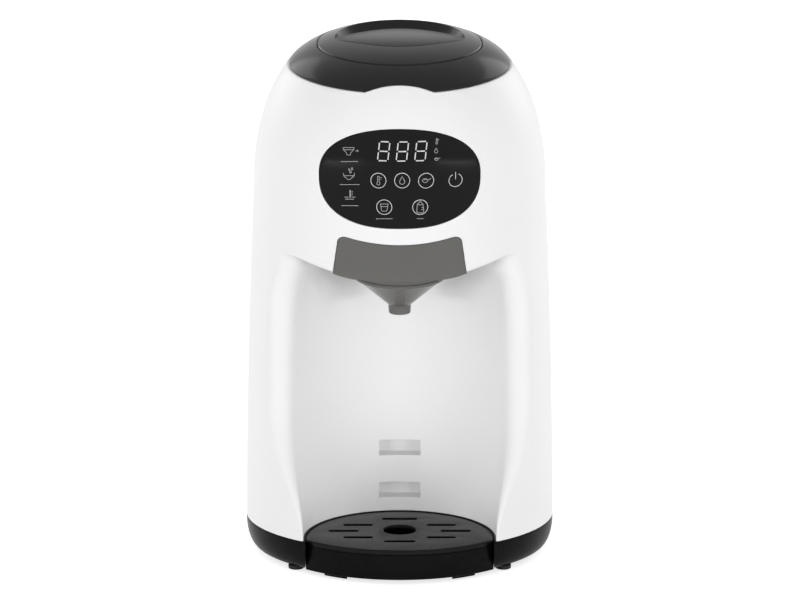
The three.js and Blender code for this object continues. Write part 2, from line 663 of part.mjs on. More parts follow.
// Slots as [middle x, middle y, half length]
const slotRows = [[0, -16.2, 11.7], [0, -66.8, 10.4], [-27.1, -29.9, 9.8], [-36.5, -43.3, 10.1],
  [-27.1, -57.7, 9.8]];
function buildGrate() {
  const bottom = grate.top - grate.plate;
  const slots = slotRows.flatMap(([x, y, half]) => (x === 0 ? [x] : [x, -x]).map((middle) => box(
    middle - half, middle + half, y - grate.slotWidth / 2, y + grate.slotWidth / 2, bottom - overrun,
      grate.top + overrun)));
  const lipOuter = tray.wall + gap;
  const lipRing = cut(prism(trayOutline(lipOuter), tray.top - grate.lipDepth, bottom + grate.plate / 2),
    prism(trayOutline(lipOuter + grate.lipWall), 0, bottom + grate.plate));
  return cut(join(prism(trayOutline(0), tray.top + gap, grate.top), lipRing),
    prism(trayOutline(lipOuter + grate.lipWall), 0, bottom),
    rod(grate.holeRadius, 0, grate.top + overrun, 0, dripAxisY, 20), ...slots);
}
addPart('tray_grate', buildGrate(), lidPlastic);

// Tank dock on the rear of the base
const dock = {
  bottom: shellBottom + gap, thickness: 3, wellX: 0, wellY: 106, wellRadius: 11.5, wellWall: 1.6,
    wellBottom: 8,
  spigotRadius: 9, neckRadius: 9.5, neckTop: 19.7, pinRadius: 1.5,
};
const dockTop = dock.bottom + dock.thickness;
const tank = {
  wall: 2.4, floor: 2.5, power: 2.6, frontY: 79.3, cornerRadius: 8, spigotBottom: 17, spigotWall: 2,
    seatHole: 4,
};
const tankBottom = dockTop + gap;
const tankFloorTop = tankBottom + tank.floor;
const valve = {
  stemRadius: 2.2, headRadius: 6, headThickness: 2, stemBottom: 19, cageInner: 9, cageWall: 1.5,
  cageHeight: 16, cageTop: 1.6, guideClearance: 0.4, stemOver: 2, springRadius: 4.6, wireRadius: 0.6,
    springTurns: 4,
  springPointsPerTurn: 9,
};
const hosePort = { radius: 5, inner: 3, z: 13.5, reach: 8 };
function buildDock() {
  const plateOutline2d = rearRing(base.platformHalfWidth - gap, dockFrontY, base.platformRearY - gap,
    base.cornerPower, 0)
    .map(([x, y]) => [x, y]);
  const well = turned([
    [0, dock.wellBottom], [dock.wellRadius + dock.wellWall, dock.wellBottom],
    [dock.wellRadius + dock.wellWall, dock.bottom + dock.thickness / 2],
    [0, dock.bottom + dock.thickness / 2]], dock.wellX, dock.wellY, 20);
  const wellHollow = turned([
    [0, dock.wellBottom + dock.wellWall], [dock.neckRadius, dock.wellBottom + dock.wellWall],
    [dock.neckRadius, dock.neckTop], [dock.wellRadius, dock.neckTop], [dock.wellRadius, dockTop + overrun],
    [0, dockTop + overrun]], dock.wellX, dock.wellY, 20);
  const port = rodAlongY(hosePort.radius, dock.wellY - dock.wellRadius - hosePort.reach,
    dock.wellY - dock.wellRadius,
    dock.wellX, hosePort.z, 10);
  const portHole = rodAlongY(hosePort.inner, dock.wellY - dock.wellRadius - hosePort.reach - overrun,
    dock.wellY,
    dock.wellX, hosePort.z, 8);
  const pin = rod(dock.pinRadius, dock.wellBottom + dock.wellWall / 2, valve.stemBottom - gap, dock.wellX,
    dock.wellY, 8);
  return join(cut(join(prism(plateOutline2d, dock.bottom, dockTop), well, port), wellHollow, portHole), pin);
}
addPart('tank_dock', buildDock(), blackPlastic);
addPart('dock_seal', turnedRing(dock.spigotRadius + gap, dock.wellRadius - gap, dock.neckTop + gap,
  dock.bottom, dock.wellX, dock.wellY, 20), silicone);

// Water tank with its valve, and the hinged lid
const tankHinge = { y: 137.1, z: 239, barrelRadius: 3, pinRadius: 1.5, lugInner: 12, lugOuter: 22,
  webThickness: 3, webDrop: 9 };
const tankLid = { thickness: 3, skirt: 3, skirtWall: 1.8, handleHalfWidth: 14, handleReach: 3 };
function tankOutline(inset) {
  const startY = tank.frontY + tank.cornerRadius;
  const rear = rearRing(tankHalfWidth - inset, startY, tankRearY - inset, tank.power, 0);
  const radius = tank.cornerRadius - inset;
  const corners = [0.25, 0.5, 0.75, 1].map((share) => [
    tankHalfWidth - tank.cornerRadius + radius * Math.cos(share * Math.PI / 2),
    tank.frontY + tank.cornerRadius - radius * Math.sin(share * Math.PI / 2)]);
  return [...rear.map(([x, y]) => [x, y]), ...corners.map(([x, y]) => [-x, y]), ...corners.reverse()];
}
function buildTank() {
  const lugs = mirrored((side) => {
    const [x0, x1] = [tankHinge.lugInner * side, tankHinge.lugOuter * side].sort((a, b) => a - b);
    return join(
      rodAlongX(tankHinge.barrelRadius, x0, x1, tankHinge.y, tankHinge.z, 12),
      box(x0, x1, tankRearY - tank.wall, tankHinge.y, tankTop - tankHinge.webDrop, tankTop - gap),
      box(x0, x1, tankHinge.y - tankHinge.webThickness / 2, tankHinge.y + tankHinge.webThickness / 2,
        tankTop - tankHinge.webDrop, tankHinge.z));
  });
  const spigot = rod(dock.spigotRadius, tank.spigotBottom, tankBottom + tank.floor / 2, dock.wellX,
    dock.wellY, 20);
  const spigotHollow = rod(dock.spigotRadius - tank.spigotWall, 0, tankBottom, dock.wellX, dock.wellY, 16);
  return cut(join(prism(tankOutline(0), tankBottom, tankTop), spigot, ...lugs),
    prism(tankOutline(tank.wall), tankFloorTop, tankTop + overrun), spigotHollow,
    rod(tank.seatHole, 0, tankTop, dock.wellX, dock.wellY, 12),
    rodAlongX(tankHinge.pinRadius + gap, -bodyHalfWidth, bodyHalfWidth, tankHinge.y, tankHinge.z, 10));
}
addPart('water_tank', buildTank(), clearPlastic);
addPart('tank_hinge_pin', rodAlongX(tankHinge.pinRadius, -tankHinge.lugOuter, tankHinge.lugOuter,
  tankHinge.y, tankHinge.z, 10), steel);
function buildTankLid() {
  const bottom = tankTop + gap;
  const skirtInset = tank.wall + 2 * gap;
  const skirtRing = cut(prism(tankOutline(skirtInset), bottom - tankLid.skirt,
    bottom + tankLid.thickness / 2),
    prism(tankOutline(skirtInset + tankLid.skirtWall), 0, bottom));
  const knuckleHalf = tankHinge.lugInner - gap;
  const knuckle = join(rodAlongX(tankHinge.barrelRadius, -knuckleHalf, knuckleHalf, tankHinge.y, tankHinge.z,
    12),
    box(-knuckleHalf, knuckleHalf, tankRearY - tankHinge.barrelRadius, tankHinge.y, bottom,
      bottom + tankLid.thickness));
  const tab = box(-tankLid.handleHalfWidth, tankLid.handleHalfWidth, tank.frontY + tank.wall,
    tank.frontY + tank.wall + tankLid.handleReach, bottom, bottom + 2 * tankLid.thickness);
  return cut(join(prism(tankOutline(0), bottom, bottom + tankLid.thickness), skirtRing, knuckle, tab),
    rodAlongX(tankHinge.pinRadius + gap, -bodyHalfWidth, bodyHalfWidth, tankHinge.y, tankHinge.z, 10));
}
addPart('tank_lid', buildTankLid(), lidPlastic);

const cageBottom = tankFloorTop + gap;
const cageTopZ = cageBottom + valve.cageHeight;
const valveHeadZ = tankFloorTop + gap;
function buildCage() {
  const reach = valve.cageInner + valve.cageWall + overrun;
  const windows = [[reach, valve.cageInner / 2], [valve.cageInner / 2, reach]].map(([halfX, halfY]) => box(
    dock.wellX - halfX, dock.wellX + halfX, dock.wellY - halfY, dock.wellY + halfY,
    cageBottom + valve.cageWall, cageTopZ - valve.cageTop - valve.cageWall));
  return cut(
    turned([[valve.cageInner, cageBottom], [valve.cageInner + valve.cageWall, cageBottom],
      [valve.cageInner + valve.cageWall, cageTopZ], [valve.stemRadius + valve.guideClearance, cageTopZ],
      [valve.stemRadius + valve.guideClearance, cageTopZ - valve.cageTop],
        [valve.cageInner, cageTopZ - valve.cageTop],
      [valve.cageInner, cageBottom]], dock.wellX, dock.wellY, 12), ...windows);
}
addPart('valve_cage', buildCage(), greyPlastic);
addPart('tank_valve', turned([[0, valve.stemBottom], [valve.stemRadius, valve.stemBottom],
  [valve.stemRadius, valveHeadZ], [valve.headRadius, valveHeadZ],
  [valve.headRadius, valveHeadZ + valve.headThickness], [valve.stemRadius, valveHeadZ + valve.headThickness],
  [valve.stemRadius, cageTopZ + valve.stemOver], [0, cageTopZ + valve.stemOver]],
dock.wellX, dock.wellY, 14), rubber);
function buildSpring() {
  const bottom = valveHeadZ + valve.headThickness + valve.wireRadius + gap;
  const top = cageTopZ - valve.cageTop - valve.wireRadius - gap;
  const path = steps(valve.springTurns * valve.springPointsPerTurn).map((share) => {
    const angle = share * valve.springTurns * 2 * Math.PI;
    return [dock.wellX + valve.springRadius * Math.cos(angle),
      dock.wellY + valve.springRadius * Math.sin(angle),
      mix(bottom, top, share)];
  });
  return hose(valve.wireRadius, path, 1, 6);
}
addPart('valve_spring', buildSpring(), steel);

// Mains inlet: a two-pin socket in the rear wall of the base
function buildInlet() {
  const frontEnd = inlet.rearY - inlet.depth;
  const pinEnd = inlet.rearY - inlet.socketDepth;
  const middleZ = (inlet.bottom + inlet.top) / 2;
  const pins = mirrored((side) => rodAlongY(inlet.pinRadius, pinEnd - inlet.pinRadius,
    pinEnd + inlet.pinLength,
    side * inlet.pinX, middleZ, 8));
  return join(cut(box(-inlet.halfWidth, inlet.halfWidth, frontEnd, inlet.rearY, inlet.bottom, inlet.top),
    box(-inlet.halfWidth + inlet.rim, inlet.halfWidth - inlet.rim, pinEnd, inlet.rearY + overrun,
      inlet.bottom + inlet.rim, inlet.top - inlet.rim)), ...pins);
}
addPart('power_inlet', buildInlet(), blackPlastic);

// Lid: a turned dome with an arched notch in front, and a cap with a finger scoop
const capClearance = 0.3;
const domeShares = [0, 0.1, 0.3, 0.55, 0.8, 1];
const domeProfile = (from, to) => domeShares.map((share) => {
  const radius = mix(from, to, share);
  return [radius, lidTop(radius)];
});
const lidPlateTop = lid.plateBottom + lid.plateThickness;
const lidFoot = { thickness: 2.55, bottomGap: 0.3, insideRise: 4 };
function buildLid() {
  const footZ = shellTop + lidFoot.bottomGap;
  const innerFoot = lid.edgeRadius - lidFoot.thickness;
  const profile = [
    [0, lid.plateBottom], [lid.ribInner, lid.plateBottom], [lid.ribInner, lid.ribBottom],
      [lid.ribOuter, lid.ribBottom],
    [lid.ribOuter, lid.plateBottom], [innerFoot - lid.wall, footZ + lidFoot.insideRise], [innerFoot, footZ],
    [lid.edgeRadius, footZ], ...domeProfile(lid.edgeRadius, lid.seamRadius + capClearance),
    [lid.seamRadius + capClearance, lidPlateTop], [0, lidPlateTop],
  ];
  return cut(turned(profile, 0, 0, 40), tongueSolid(gap, lid.edgeRadius + overrun));
}
addPart('lid', buildLid(), lidPlastic);

const scoop = {
  radius: 39.5, frontY: -27, frontZ: 347, slope: 6.2, height: 20, flareFrom: 339.5, flare: 0.45,
};
const capBottom = lidPlateTop + gap;
function buildCap() {
  const dome = turned([[0, capBottom], [lid.seamRadius, capBottom],
    ...domeProfile(lid.seamRadius, 0)], 0, 0, 36);
  const wedge = new THREE.BoxGeometry(scoop.radius * 4, scoop.radius * 4, scoop.height);
  wedge.translate(0, 0, scoop.height / 2);
  wedge.rotateX(-radians(scoop.slope));
  wedge.translate(0, scoop.frontY, scoop.frontZ);
  const top = scoop.frontZ + scoop.height;
  const flaredTop = scoop.radius + scoop.flare * (top - scoop.flareFrom);
  const bowl = turned([[0, capBottom], [scoop.radius, capBottom], [scoop.radius, scoop.flareFrom],
    [flaredTop, top], [0, top]], 0, 0, 32);
  return cut(dome, bowl.intersect(toSolid(wedge)));
}
addPart('lid_cap', buildCap(), lidPlastic);

// Powder container with its flange on the seat ring
const container = {
  bottom: 246, floor: 3, outerRadius: 62, wall: 2, flangeRadius: 68, flangeZ: 319.3, flangeThickness: 2,
    top: 324,
  bottomChamfer: 2.5, outletRadius: 6.5,
};
const sealRing = { thickness: 2, inner: 59.6, outer: 63.2 };
addPart('lid_seal', turnedRing(sealRing.inner, sealRing.outer, container.top + gap,
  container.top + gap + sealRing.thickness,
  0, 0, 28), silicone);
const shaft = { radius: 4, bottom: 239.1, barHalfLength: 8, barHalfWidth: 1.6, barHeight: 4, top: 284 };
const glandSeal = { outer: 7.5, thickness: 1.4 };
const containerFloorTop = container.bottom + container.floor;
const containerInner = container.outerRadius - container.wall;
function buildContainer() {
  const body = turned([
    [0, container.bottom], [container.outerRadius - container.bottomChamfer, container.bottom],
    [container.outerRadius, container.bottom + container.bottomChamfer],
      [container.outerRadius, container.flangeZ],
    [container.flangeRadius, container.flangeZ], [container.flangeRadius,
      container.flangeZ + container.flangeThickness],
    [container.outerRadius, container.flangeZ + container.flangeThickness],
      [container.outerRadius, container.top],
    [containerInner, container.top], [containerInner, containerFloorTop + container.bottomChamfer],
    [containerInner - container.bottomChamfer, containerFloorTop], [0, containerFloorTop]], 0, 0, 26);
  return cut(body,
    rod(container.outletRadius, 0, containerFloorTop + overrun, 0, dripAxisY, 12),
    rod(shaft.radius + gap, 0, containerFloorTop + overrun, 0, 0, 12),
    rod(glandSeal.outer + gap, 0, container.bottom + glandSeal.thickness + gap, 0, 0, 12));
}
addPart('powder_container', buildContainer(), clearPlastic);
addPart('shaft_seal', turnedRing(shaft.radius + gap, glandSeal.outer, container.bottom,
  container.bottom + glandSeal.thickness, 0, 0, 12), rubber);

// Metering wheel, cover plate, shaft and stirrer
const wheel = { radius: 55, thickness: 8, pockets: 8, pocketRadius: 6.5 };
const wheelBottom = containerFloorTop + gap;
const pocketCircle = -dripAxisY;
function buildWheel() {
  const pockets = steps(wheel.pockets).slice(0, -1).map((share) => {
    const angle = -Math.PI / 2 + share * 2 * Math.PI;
    return rod(wheel.pocketRadius, 0, wheelBottom + wheel.thickness + overrun,
      pocketCircle * Math.cos(angle), pocketCircle * Math.sin(angle), 8);
  });
  return cut(rod(wheel.radius, wheelBottom, wheelBottom + wheel.thickness, 0, 0, 28),
    rod(shaft.radius + gap, 0, containerFloorTop * 2, 0, 0, 12), ...pockets);
}
addPart('metering_wheel', buildWheel(), whitePlastic);

const coverPlate = { thickness: 2, inletSpread: 30, inletCount: 4, clearance: 0.8 };
const coverBottom = wheelBottom + wheel.thickness + gap;
const coverTop = coverBottom + coverPlate.thickness;
const inletHoles = steps(coverPlate.inletCount).map((share) => {
  const angle = radians(mix(90 - coverPlate.inletSpread, 90 + coverPlate.inletSpread, share));
  return rod(wheel.pocketRadius, 0, coverTop + overrun, pocketCircle * Math.cos(angle),
    pocketCircle * Math.sin(angle), 8);
});
addPart('powder_plate', cut(rod(containerInner - coverPlate.clearance, coverBottom, coverTop, 0, 0, 26),
  rod(shaft.radius + gap, 0, coverTop + overrun, 0, 0, 12), ...inletHoles), whitePlastic);

addPart('wheel_shaft', join(rod(shaft.radius, shaft.bottom, shaft.top, 0, 0, 12),
  box(-shaft.barHalfLength, shaft.barHalfLength, -shaft.barHalfWidth, shaft.barHalfWidth,
    shaft.bottom, shaft.bottom + shaft.barHeight)), steel);

const stirrer = {
  hubRadius: 8, hubHeight: 16, arms: 3, armLength: 55, armWidth: 4, armHeight: 5, fingerRadius: 2,
    fingerReach: 50,
  fingerTop: 300, sweepGap: 0.6,
};
function buildStirrer() {
  const bottom = coverTop + stirrer.sweepGap;
  const arms = steps(stirrer.arms).slice(0, -1).flatMap((share) => {
    const angle = share * 2 * Math.PI;
    const arm = new THREE.BoxGeometry(stirrer.armLength, stirrer.armWidth, stirrer.armHeight);
    arm.translate(stirrer.armLength / 2, 0, bottom + stirrer.armHeight / 2);
    arm.rotateZ(angle);
    return [toSolid(arm), rod(stirrer.fingerRadius, bottom, stirrer.fingerTop,
      stirrer.fingerReach * Math.cos(angle), stirrer.fingerReach * Math.sin(angle), 8)];
  });
  return cut(join(rod(stirrer.hubRadius, bottom, bottom + stirrer.hubHeight, 0, 0, 16), ...arms),
    rod(shaft.radius + gap, 0, stirrer.fingerTop, 0, 0, 12));
}
addPart('stirrer', buildStirrer(), whitePlastic);

// Seat ring under the flange of the container
const seat = { innerRadius: 63.5, thickness: 3, clearance: 0.8 };
const seatTop = container.flangeZ - gap;
addPart('hopper_seat', cut(bodyCore([seatTop - seat.thickness, seatTop], shellWall + seat.clearance),
  rod(seat.innerRadius, 0, seatTop + overrun, 0, 0, 28)), whitePlastic);

// Gear train on the deck of the head: output gear under the hopper, idler, motor pinion
const gears = { module: 1.25, outputTeeth: 32, idlerTeeth: 24, pinionTeeth: 8, bottom: 224, thickness: 7 };
const gearTop = gears.bottom + gears.thickness;
const pitchRadius = (teeth) => (teeth * gears.module) / 2;
const idlerDirection = radians(140);
const pinionDirection = radians(90);
const idlerPlace = [
  (pitchRadius(gears.outputTeeth) + pitchRadius(gears.idlerTeeth)) * Math.cos(idlerDirection),
  (pitchRadius(gears.outputTeeth) + pitchRadius(gears.idlerTeeth)) * Math.sin(idlerDirection),
];
const pinionPlace = [
  idlerPlace[0] + (pitchRadius(gears.idlerTeeth)
    + pitchRadius(gears.pinionTeeth)) * Math.cos(pinionDirection),
  idlerPlace[1] + (pitchRadius(gears.idlerTeeth)
    + pitchRadius(gears.pinionTeeth)) * Math.sin(pinionDirection),
];
// The phase of the driven gear that puts a gap of its teeth where the driving gear has a tooth
const meshPhase = (phase, teeth, otherTeeth, direction) =>
  direction + Math.PI + ((direction - phase) * teeth) / otherTeeth + Math.PI / otherTeeth;
const tooth = { addendumShare: 0.9, dedendumShare: 1.15, tipHalfShare: 0.36, rootHalfShare: 0.92 };
function gearOutline(teeth, phase, [x, y]) {
  const tip = pitchRadius(teeth) + tooth.addendumShare * gears.module;
  const root = pitchRadius(teeth) - tooth.dedendumShare * gears.module;
  const tipHalf = (tooth.tipHalfShare * gears.module) / tip;
  const rootHalf = (tooth.rootHalfShare * gears.module) / root;
  return steps(teeth).slice(0, -1).flatMap((share) => {
    const middle = phase + share * 2 * Math.PI;
    return [[root, -rootHalf], [tip, -tipHalf], [tip, tipHalf], [root, rootHalf]].map(([reach, turn]) => [
      x + reach * Math.cos(middle + turn), y + reach * Math.sin(middle + turn)]);
  });
}
const outputPhase = idlerDirection;
const idlerPhase = meshPhase(outputPhase, gears.outputTeeth, gears.idlerTeeth, idlerDirection);
const pinionPhase = meshPhase(idlerPhase, gears.idlerTeeth, gears.pinionTeeth, pinionDirection);
const gearBlank = (teeth, phase, place) => prism(gearOutline(teeth, phase, place), gears.bottom, gearTop);

const cover = { wall: 1.6, toothGap: 1, height: 13.7, hubClearance: 0.4 };
const coverBaseZ = deckTop + gap;
const coverTopZ = coverBaseZ + cover.height;
const hub = { radius: 6, stubRadius: 4, stubBottom: 219.5 };
const coupling = { radius: 9, thickness: 2, lugInner: 4.6, lugOuter: 8.6, lugHalfAngle: 45, lugHeight: 4.2 };
const hubTop = coverTopZ + gap;
addPart('output_gear', join(gearBlank(gears.outputTeeth, outputPhase, [0, 0]),
  rod(hub.radius, gears.bottom, hubTop, 0, 0, 16),
  rod(hub.stubRadius, hub.stubBottom, gears.bottom, 0, 0, 12)), greyPlastic);
function buildCoupling() {
  const bottom = hubTop + gap;
  const lugOutline = (middle) => {
    const shares = steps(4);
    const arc = (radius, list) => list.map((share) => {
      const angle = middle + radians(mix(-coupling.lugHalfAngle, coupling.lugHalfAngle, share));
      return [radius * Math.cos(angle), radius * Math.sin(angle)];
    });
    return [...arc(coupling.lugOuter, shares), ...arc(coupling.lugInner, [...shares].reverse())];
  };
  const lugs = [Math.PI / 2, -Math.PI / 2].map((middle) => prism(lugOutline(middle),
    bottom + coupling.thickness / 2, bottom + coupling.thickness + coupling.lugHeight));
  return join(rod(coupling.radius, bottom, bottom + coupling.thickness, 0, 0, 16), ...lugs);
}
addPart('drive_coupling', buildCoupling(), steel);

const idlerPin = { radius: 2, collarRadius: 4 };
addPart('idler_gear', cut(gearBlank(gears.idlerTeeth, idlerPhase, idlerPlace),
  rod(idlerPin.radius + gap, 0, gearTop + overrun, ...idlerPlace, 10)), greyPlastic);
addPart('idler_pin', join(
  rod(idlerPin.radius, coverBaseZ, coverTopZ - cover.wall - gap, ...idlerPlace, 10),
  rod(idlerPin.collarRadius, coverBaseZ, gears.bottom - gap, ...idlerPlace, 10)), steel);
const motor = {
  radius: 14, bottom: 181, bossRadius: 5, bossTop: 222.5, shaftRadius: 1.5, shaftBottom: 213, endRadius: 8,
    endDrop: 4,
};
addPart('motor_pinion', join(gearBlank(gears.pinionTeeth, pinionPhase, pinionPlace),
  rod(motor.shaftRadius, motor.shaftBottom, gears.bottom, ...pinionPlace, 8)), steel);
addPart('drive_motor', cut(join(
  rod(motor.radius, motor.bottom, deck.bottom - gap, ...pinionPlace, 20),
  rod(motor.bossRadius, motor.bottom, motor.bossTop, ...pinionPlace, 12),
  rod(motor.endRadius, motor.bottom - motor.endDrop, motor.bottom + motor.endDrop, ...pinionPlace, 16)),
rod(motor.shaftRadius + gap, motor.shaftBottom - gap, motor.bossTop + overrun, ...pinionPlace, 8)), steel);
function buildCover() {
  const places = [
    [pitchRadius(gears.outputTeeth), [0, 0]], [pitchRadius(gears.idlerTeeth), idlerPlace],
    [pitchRadius(gears.pinionTeeth), pinionPlace]];
  const reach = (pitch) => pitch + gears.module + cover.toothGap;
  const outside = places.map(([pitch, place]) => rod(reach(pitch) + cover.wall, coverBaseZ, coverTopZ,
    ...place, 18));
  const inside = places.map(([pitch, place]) => rod(reach(pitch), 0, coverTopZ - cover.wall, ...place, 18));
  return cut(join(...outside), join(...inside), rod(hub.radius + cover.hubClearance, 0, coverTopZ + overrun,
    0, 0, 16));
}
addPart('gearbox_cover', buildCover(), greyPlastic);

// Powder chute and water nozzle over the funnel
const chute = { outer: 9.5, inner: 8, bottom: 213.8, flangeRadius: 12.5, cupBottom: 243.4, cupTop: 245.6,
  collar: 2 };
addPart('powder_chute', cut(join(
  rod(chute.outer, chute.bottom, chute.cupTop, 0, dripAxisY, 14),
  rod(chute.flangeRadius, chute.cupBottom, chute.cupTop, 0, dripAxisY, 14),
  rod(chute.flangeRadius, deckTop + gap, deckTop + gap + chute.collar, 0, dripAxisY, 14)),
rod(chute.inner, 0, chute.cupTop + overrun, 0, dripAxisY, 14)), whitePlastic);
const nozzle = { x: 20, radius: 4, bore: 2, bottom: 214, flangeRadius: 6, flange: 2, hoseRadius: 3 };
addPart('water_nozzle', cut(join(
  rod(nozzle.radius, nozzle.bottom, deckTop + gap, nozzle.x, dripAxisY, 12),
  rod(nozzle.flangeRadius, deckTop + gap, deckTop + gap + nozzle.flange, nozzle.x, dripAxisY, 12)),
rod(nozzle.bore, 0, deckTop + overrun, nozzle.x, dripAxisY, 8)), greyPlastic);

const hoseHole = { x: 34, y: 44, radius: 4.5 };
function buildDeck() {
  const plan = bodyCore([deck.bottom, deckTop], shellWall + gap);
  const front = bodyCore([deck.bottom, deckTop], deck.frontInset);
  const rear = box(-deck.halfWidth, deck.halfWidth, seamY, deck.rearY, deck.bottom, deckTop);
  const frontHalf = box(-deck.halfWidth, deck.halfWidth, -bodyFrontDepth, seamY, deck.bottom, deckTop);
  const deckPlate = join(front.intersect(frontHalf), plan.intersect(rear));
  const bearing = rod(hub.radius + hub.stubRadius / 2, deck.bottom + deck.thickness / 2, gears.bottom - gap,
    0, 0, 12);
  return cut(join(deckPlate, bearing),
    rod(hub.stubRadius + gap, 0, gears.bottom + overrun, 0, 0, 12),
    rod(chute.outer + gap, 0, deckTop + overrun, 0, dripAxisY, 16),
    rod(nozzle.radius + gap, 0, deckTop + overrun, nozzle.x, dripAxisY, 12),
    rod(motor.bossRadius + gap, 0, deckTop + overrun, ...pinionPlace, 12),
    rod(hoseHole.radius, 0, deckTop + overrun, hoseHole.x, hoseHole.y, 12));
}
addPart('head_deck', buildDeck(), greyPlastic);

// Inner frame behind the bay; it stands on the base and carries the deck, the heater and the power board
const frame = {
  halfWidth: 60, frontY: 66, thickness: 3, footDepth: 14, notchLeft: -34, notchRight: 14, notchTop: 24,
};
const frameBottom = base.bottom + base.floor + gap;
addPart('inner_frame', cut(join(
  box(-frame.halfWidth, frame.halfWidth, frame.frontY, frame.frontY + frame.thickness, frameBottom,
    deck.bottom - gap),
  box(-frame.halfWidth, frame.halfWidth, frame.frontY - frame.footDepth, frame.frontY + frame.thickness / 2,
    frameBottom,
    frameBottom + frame.thickness)),
box(frame.notchLeft, frame.notchRight, frame.frontY - frame.footDepth - overrun,
  frame.frontY + frame.thickness + overrun,
  0, frame.notchTop)), greyPlastic);

// Drawer of the funnel and its rails
const coneShape = {
  spoutBottom: 169.6, spoutRadius: 7.1, spoutTop: 174.6, spoutTopRadius: 7.5, wall: 1.6, ridgeZ: 195,
    ridgeHeight: 2,
  ridgeRadius: 29.6, ridgeStep: 1.2, collarRadius: 32.8, flangeRadius: 36, flangeThickness: 2,
    holeClearance: 0.5,
};
const drawerFloorTop = drawer.floorZ + drawer.floorThickness;
function buildHolder() {
  const face = frontSlab(plate.bottomHalfWidth + panelMargin, plate.middleBottom - panelMargin,
    plate.endTop + panelMargin,
    0, plate.depth, 10, 3).intersect(prismAlongY(plateOutline(0), -bodyFrontDepth - overrun, 0));
  const floor = box(-drawer.halfWidth, drawer.halfWidth, -bodyFrontDepth, drawer.rearY, drawer.floorZ,
    drawerFloorTop);
  const sides = mirrored((side) => {
    const edges = (near, far) => [side * near, side * far].sort((a, b) => a - b);
    const wingTop = drawer.wingZ + drawer.wingThickness;
    return join(
      box(...edges(drawerInner, drawer.halfWidth), -bodyFrontDepth, drawer.rearY, drawer.floorZ, wingTop),
      box(...edges(drawerInner - drawer.wingWidth, drawer.halfWidth), -bodyFrontDepth, drawer.rearY,
        drawer.wingZ, wingTop));
  });
  const inside = bodyCore([headBottom - overrun, plate.endTop], plate.depth / 2);
  return join(face, cut(join(floor, ...sides),
    rod(coneShape.collarRadius + coneShape.holeClearance, 0, drawerFloorTop + overrun, 0, dripAxisY,
      28)).intersect(inside));
}
addPart('funnel_holder', buildHolder(), smokyPlastic);
const flangeZ = drawerFloorTop + gap;
addPart('funnel_cone', turned([
  [coneShape.spoutRadius, coneShape.spoutBottom], [coneShape.spoutTopRadius, coneShape.spoutTop],
  [coneShape.ridgeRadius - coneShape.ridgeStep, coneShape.ridgeZ], [coneShape.ridgeRadius, coneShape.ridgeZ],
  [coneShape.ridgeRadius, coneShape.ridgeZ + coneShape.ridgeHeight],
  [coneShape.collarRadius, drawer.floorZ], [coneShape.collarRadius, flangeZ],
    [coneShape.flangeRadius, flangeZ],
  [coneShape.flangeRadius, flangeZ + coneShape.flangeThickness],
  [coneShape.collarRadius - coneShape.wall, flangeZ + coneShape.flangeThickness],
  [coneShape.collarRadius - coneShape.wall, drawer.floorZ],
  [coneShape.ridgeRadius - coneShape.ridgeStep - coneShape.wall, coneShape.ridgeZ],
  [coneShape.spoutTopRadius - coneShape.wall, coneShape.spoutTop + coneShape.wall / 2],
  [coneShape.spoutRadius - coneShape.wall, coneShape.spoutBottom],
    [coneShape.spoutRadius, coneShape.spoutBottom],
], 0, dripAxisY, 26), smokyPlastic);
const rail = { webThickness: 2, sideClearance: 0.5, lipThickness: 1.6, frontY: -72, rearY: 2 };
const railWeb = drawerInner - drawer.wingWidth - rail.sideClearance;
const railLipTop = drawer.wingZ - gap;
mirrored((side) => {
  const edges = (near, far) => [side * near, side * far].sort((a, b) => a - b);
  const lipBottom = railLipTop - rail.lipThickness;
  addPart(side < 0 ? 'funnel_rail_left' : 'funnel_rail_right', join(
    box(...edges(railWeb - rail.webThickness, railWeb), rail.frontY, rail.rearY, lipBottom,
      deck.bottom - gap),
    box(...edges(railWeb - rail.webThickness, drawerInner - rail.sideClearance), rail.frontY, rail.rearY,
      lipBottom, railLipTop)), whitePlastic);
});
const magnet = { x: 13, halfWidth: 3, frontY: -81, rearY: -77, height: 3 };
addPart('funnel_magnet', box(magnet.x - magnet.halfWidth, magnet.x + magnet.halfWidth, magnet.frontY,
  magnet.rearY,
  drawerFloorTop + gap, drawerFloorTop + gap + magnet.height), steel);
const sensor = { halfWidth: 5, frontY: -74, rearY: -66, height: 3.4 };
addPart('funnel_sensor', box(magnet.x - sensor.halfWidth, magnet.x + sensor.halfWidth, sensor.frontY,
  sensor.rearY,
  deck.bottom - gap - sensor.height, deck.bottom - gap), blackPlastic);

// Water path: pump on the base, heater on the frame, hoses between them
const pump = { x: -32, y: 30, radius: 14, top: 50, portRadius: 2.6, portReach: 6, inletZ: 14, outletZ: 40 };
addPart('water_pump', join(
  rod(pump.radius, frameBottom, pump.top, pump.x, pump.y, 20),
  rodAlongY(pump.portRadius, pump.y, pump.y + pump.radius + pump.portReach, pump.x, pump.inletZ, 8),
  rodAlongX(pump.portRadius, pump.x, pump.x + pump.radius + pump.portReach, pump.y, pump.outletZ, 8)),
    blackPlastic);
const heater = {
  x: 28, y: 50, halfWidth: 14, frontY: 36, bottom: 60, top: 160, portRadius: 2.6, portReach: 10,
};
addPart('heater', join(
  box(heater.x - heater.halfWidth, heater.x + heater.halfWidth, heater.frontY, frame.frontY - gap,
    heater.bottom, heater.top),
  rod(heater.portRadius, heater.bottom - heater.portReach, heater.top + heater.portReach, heater.x, heater.y,
    8)), steel);
const thermostat = { x: 38, radius: 4, height: 9, wireRadius: 1 };
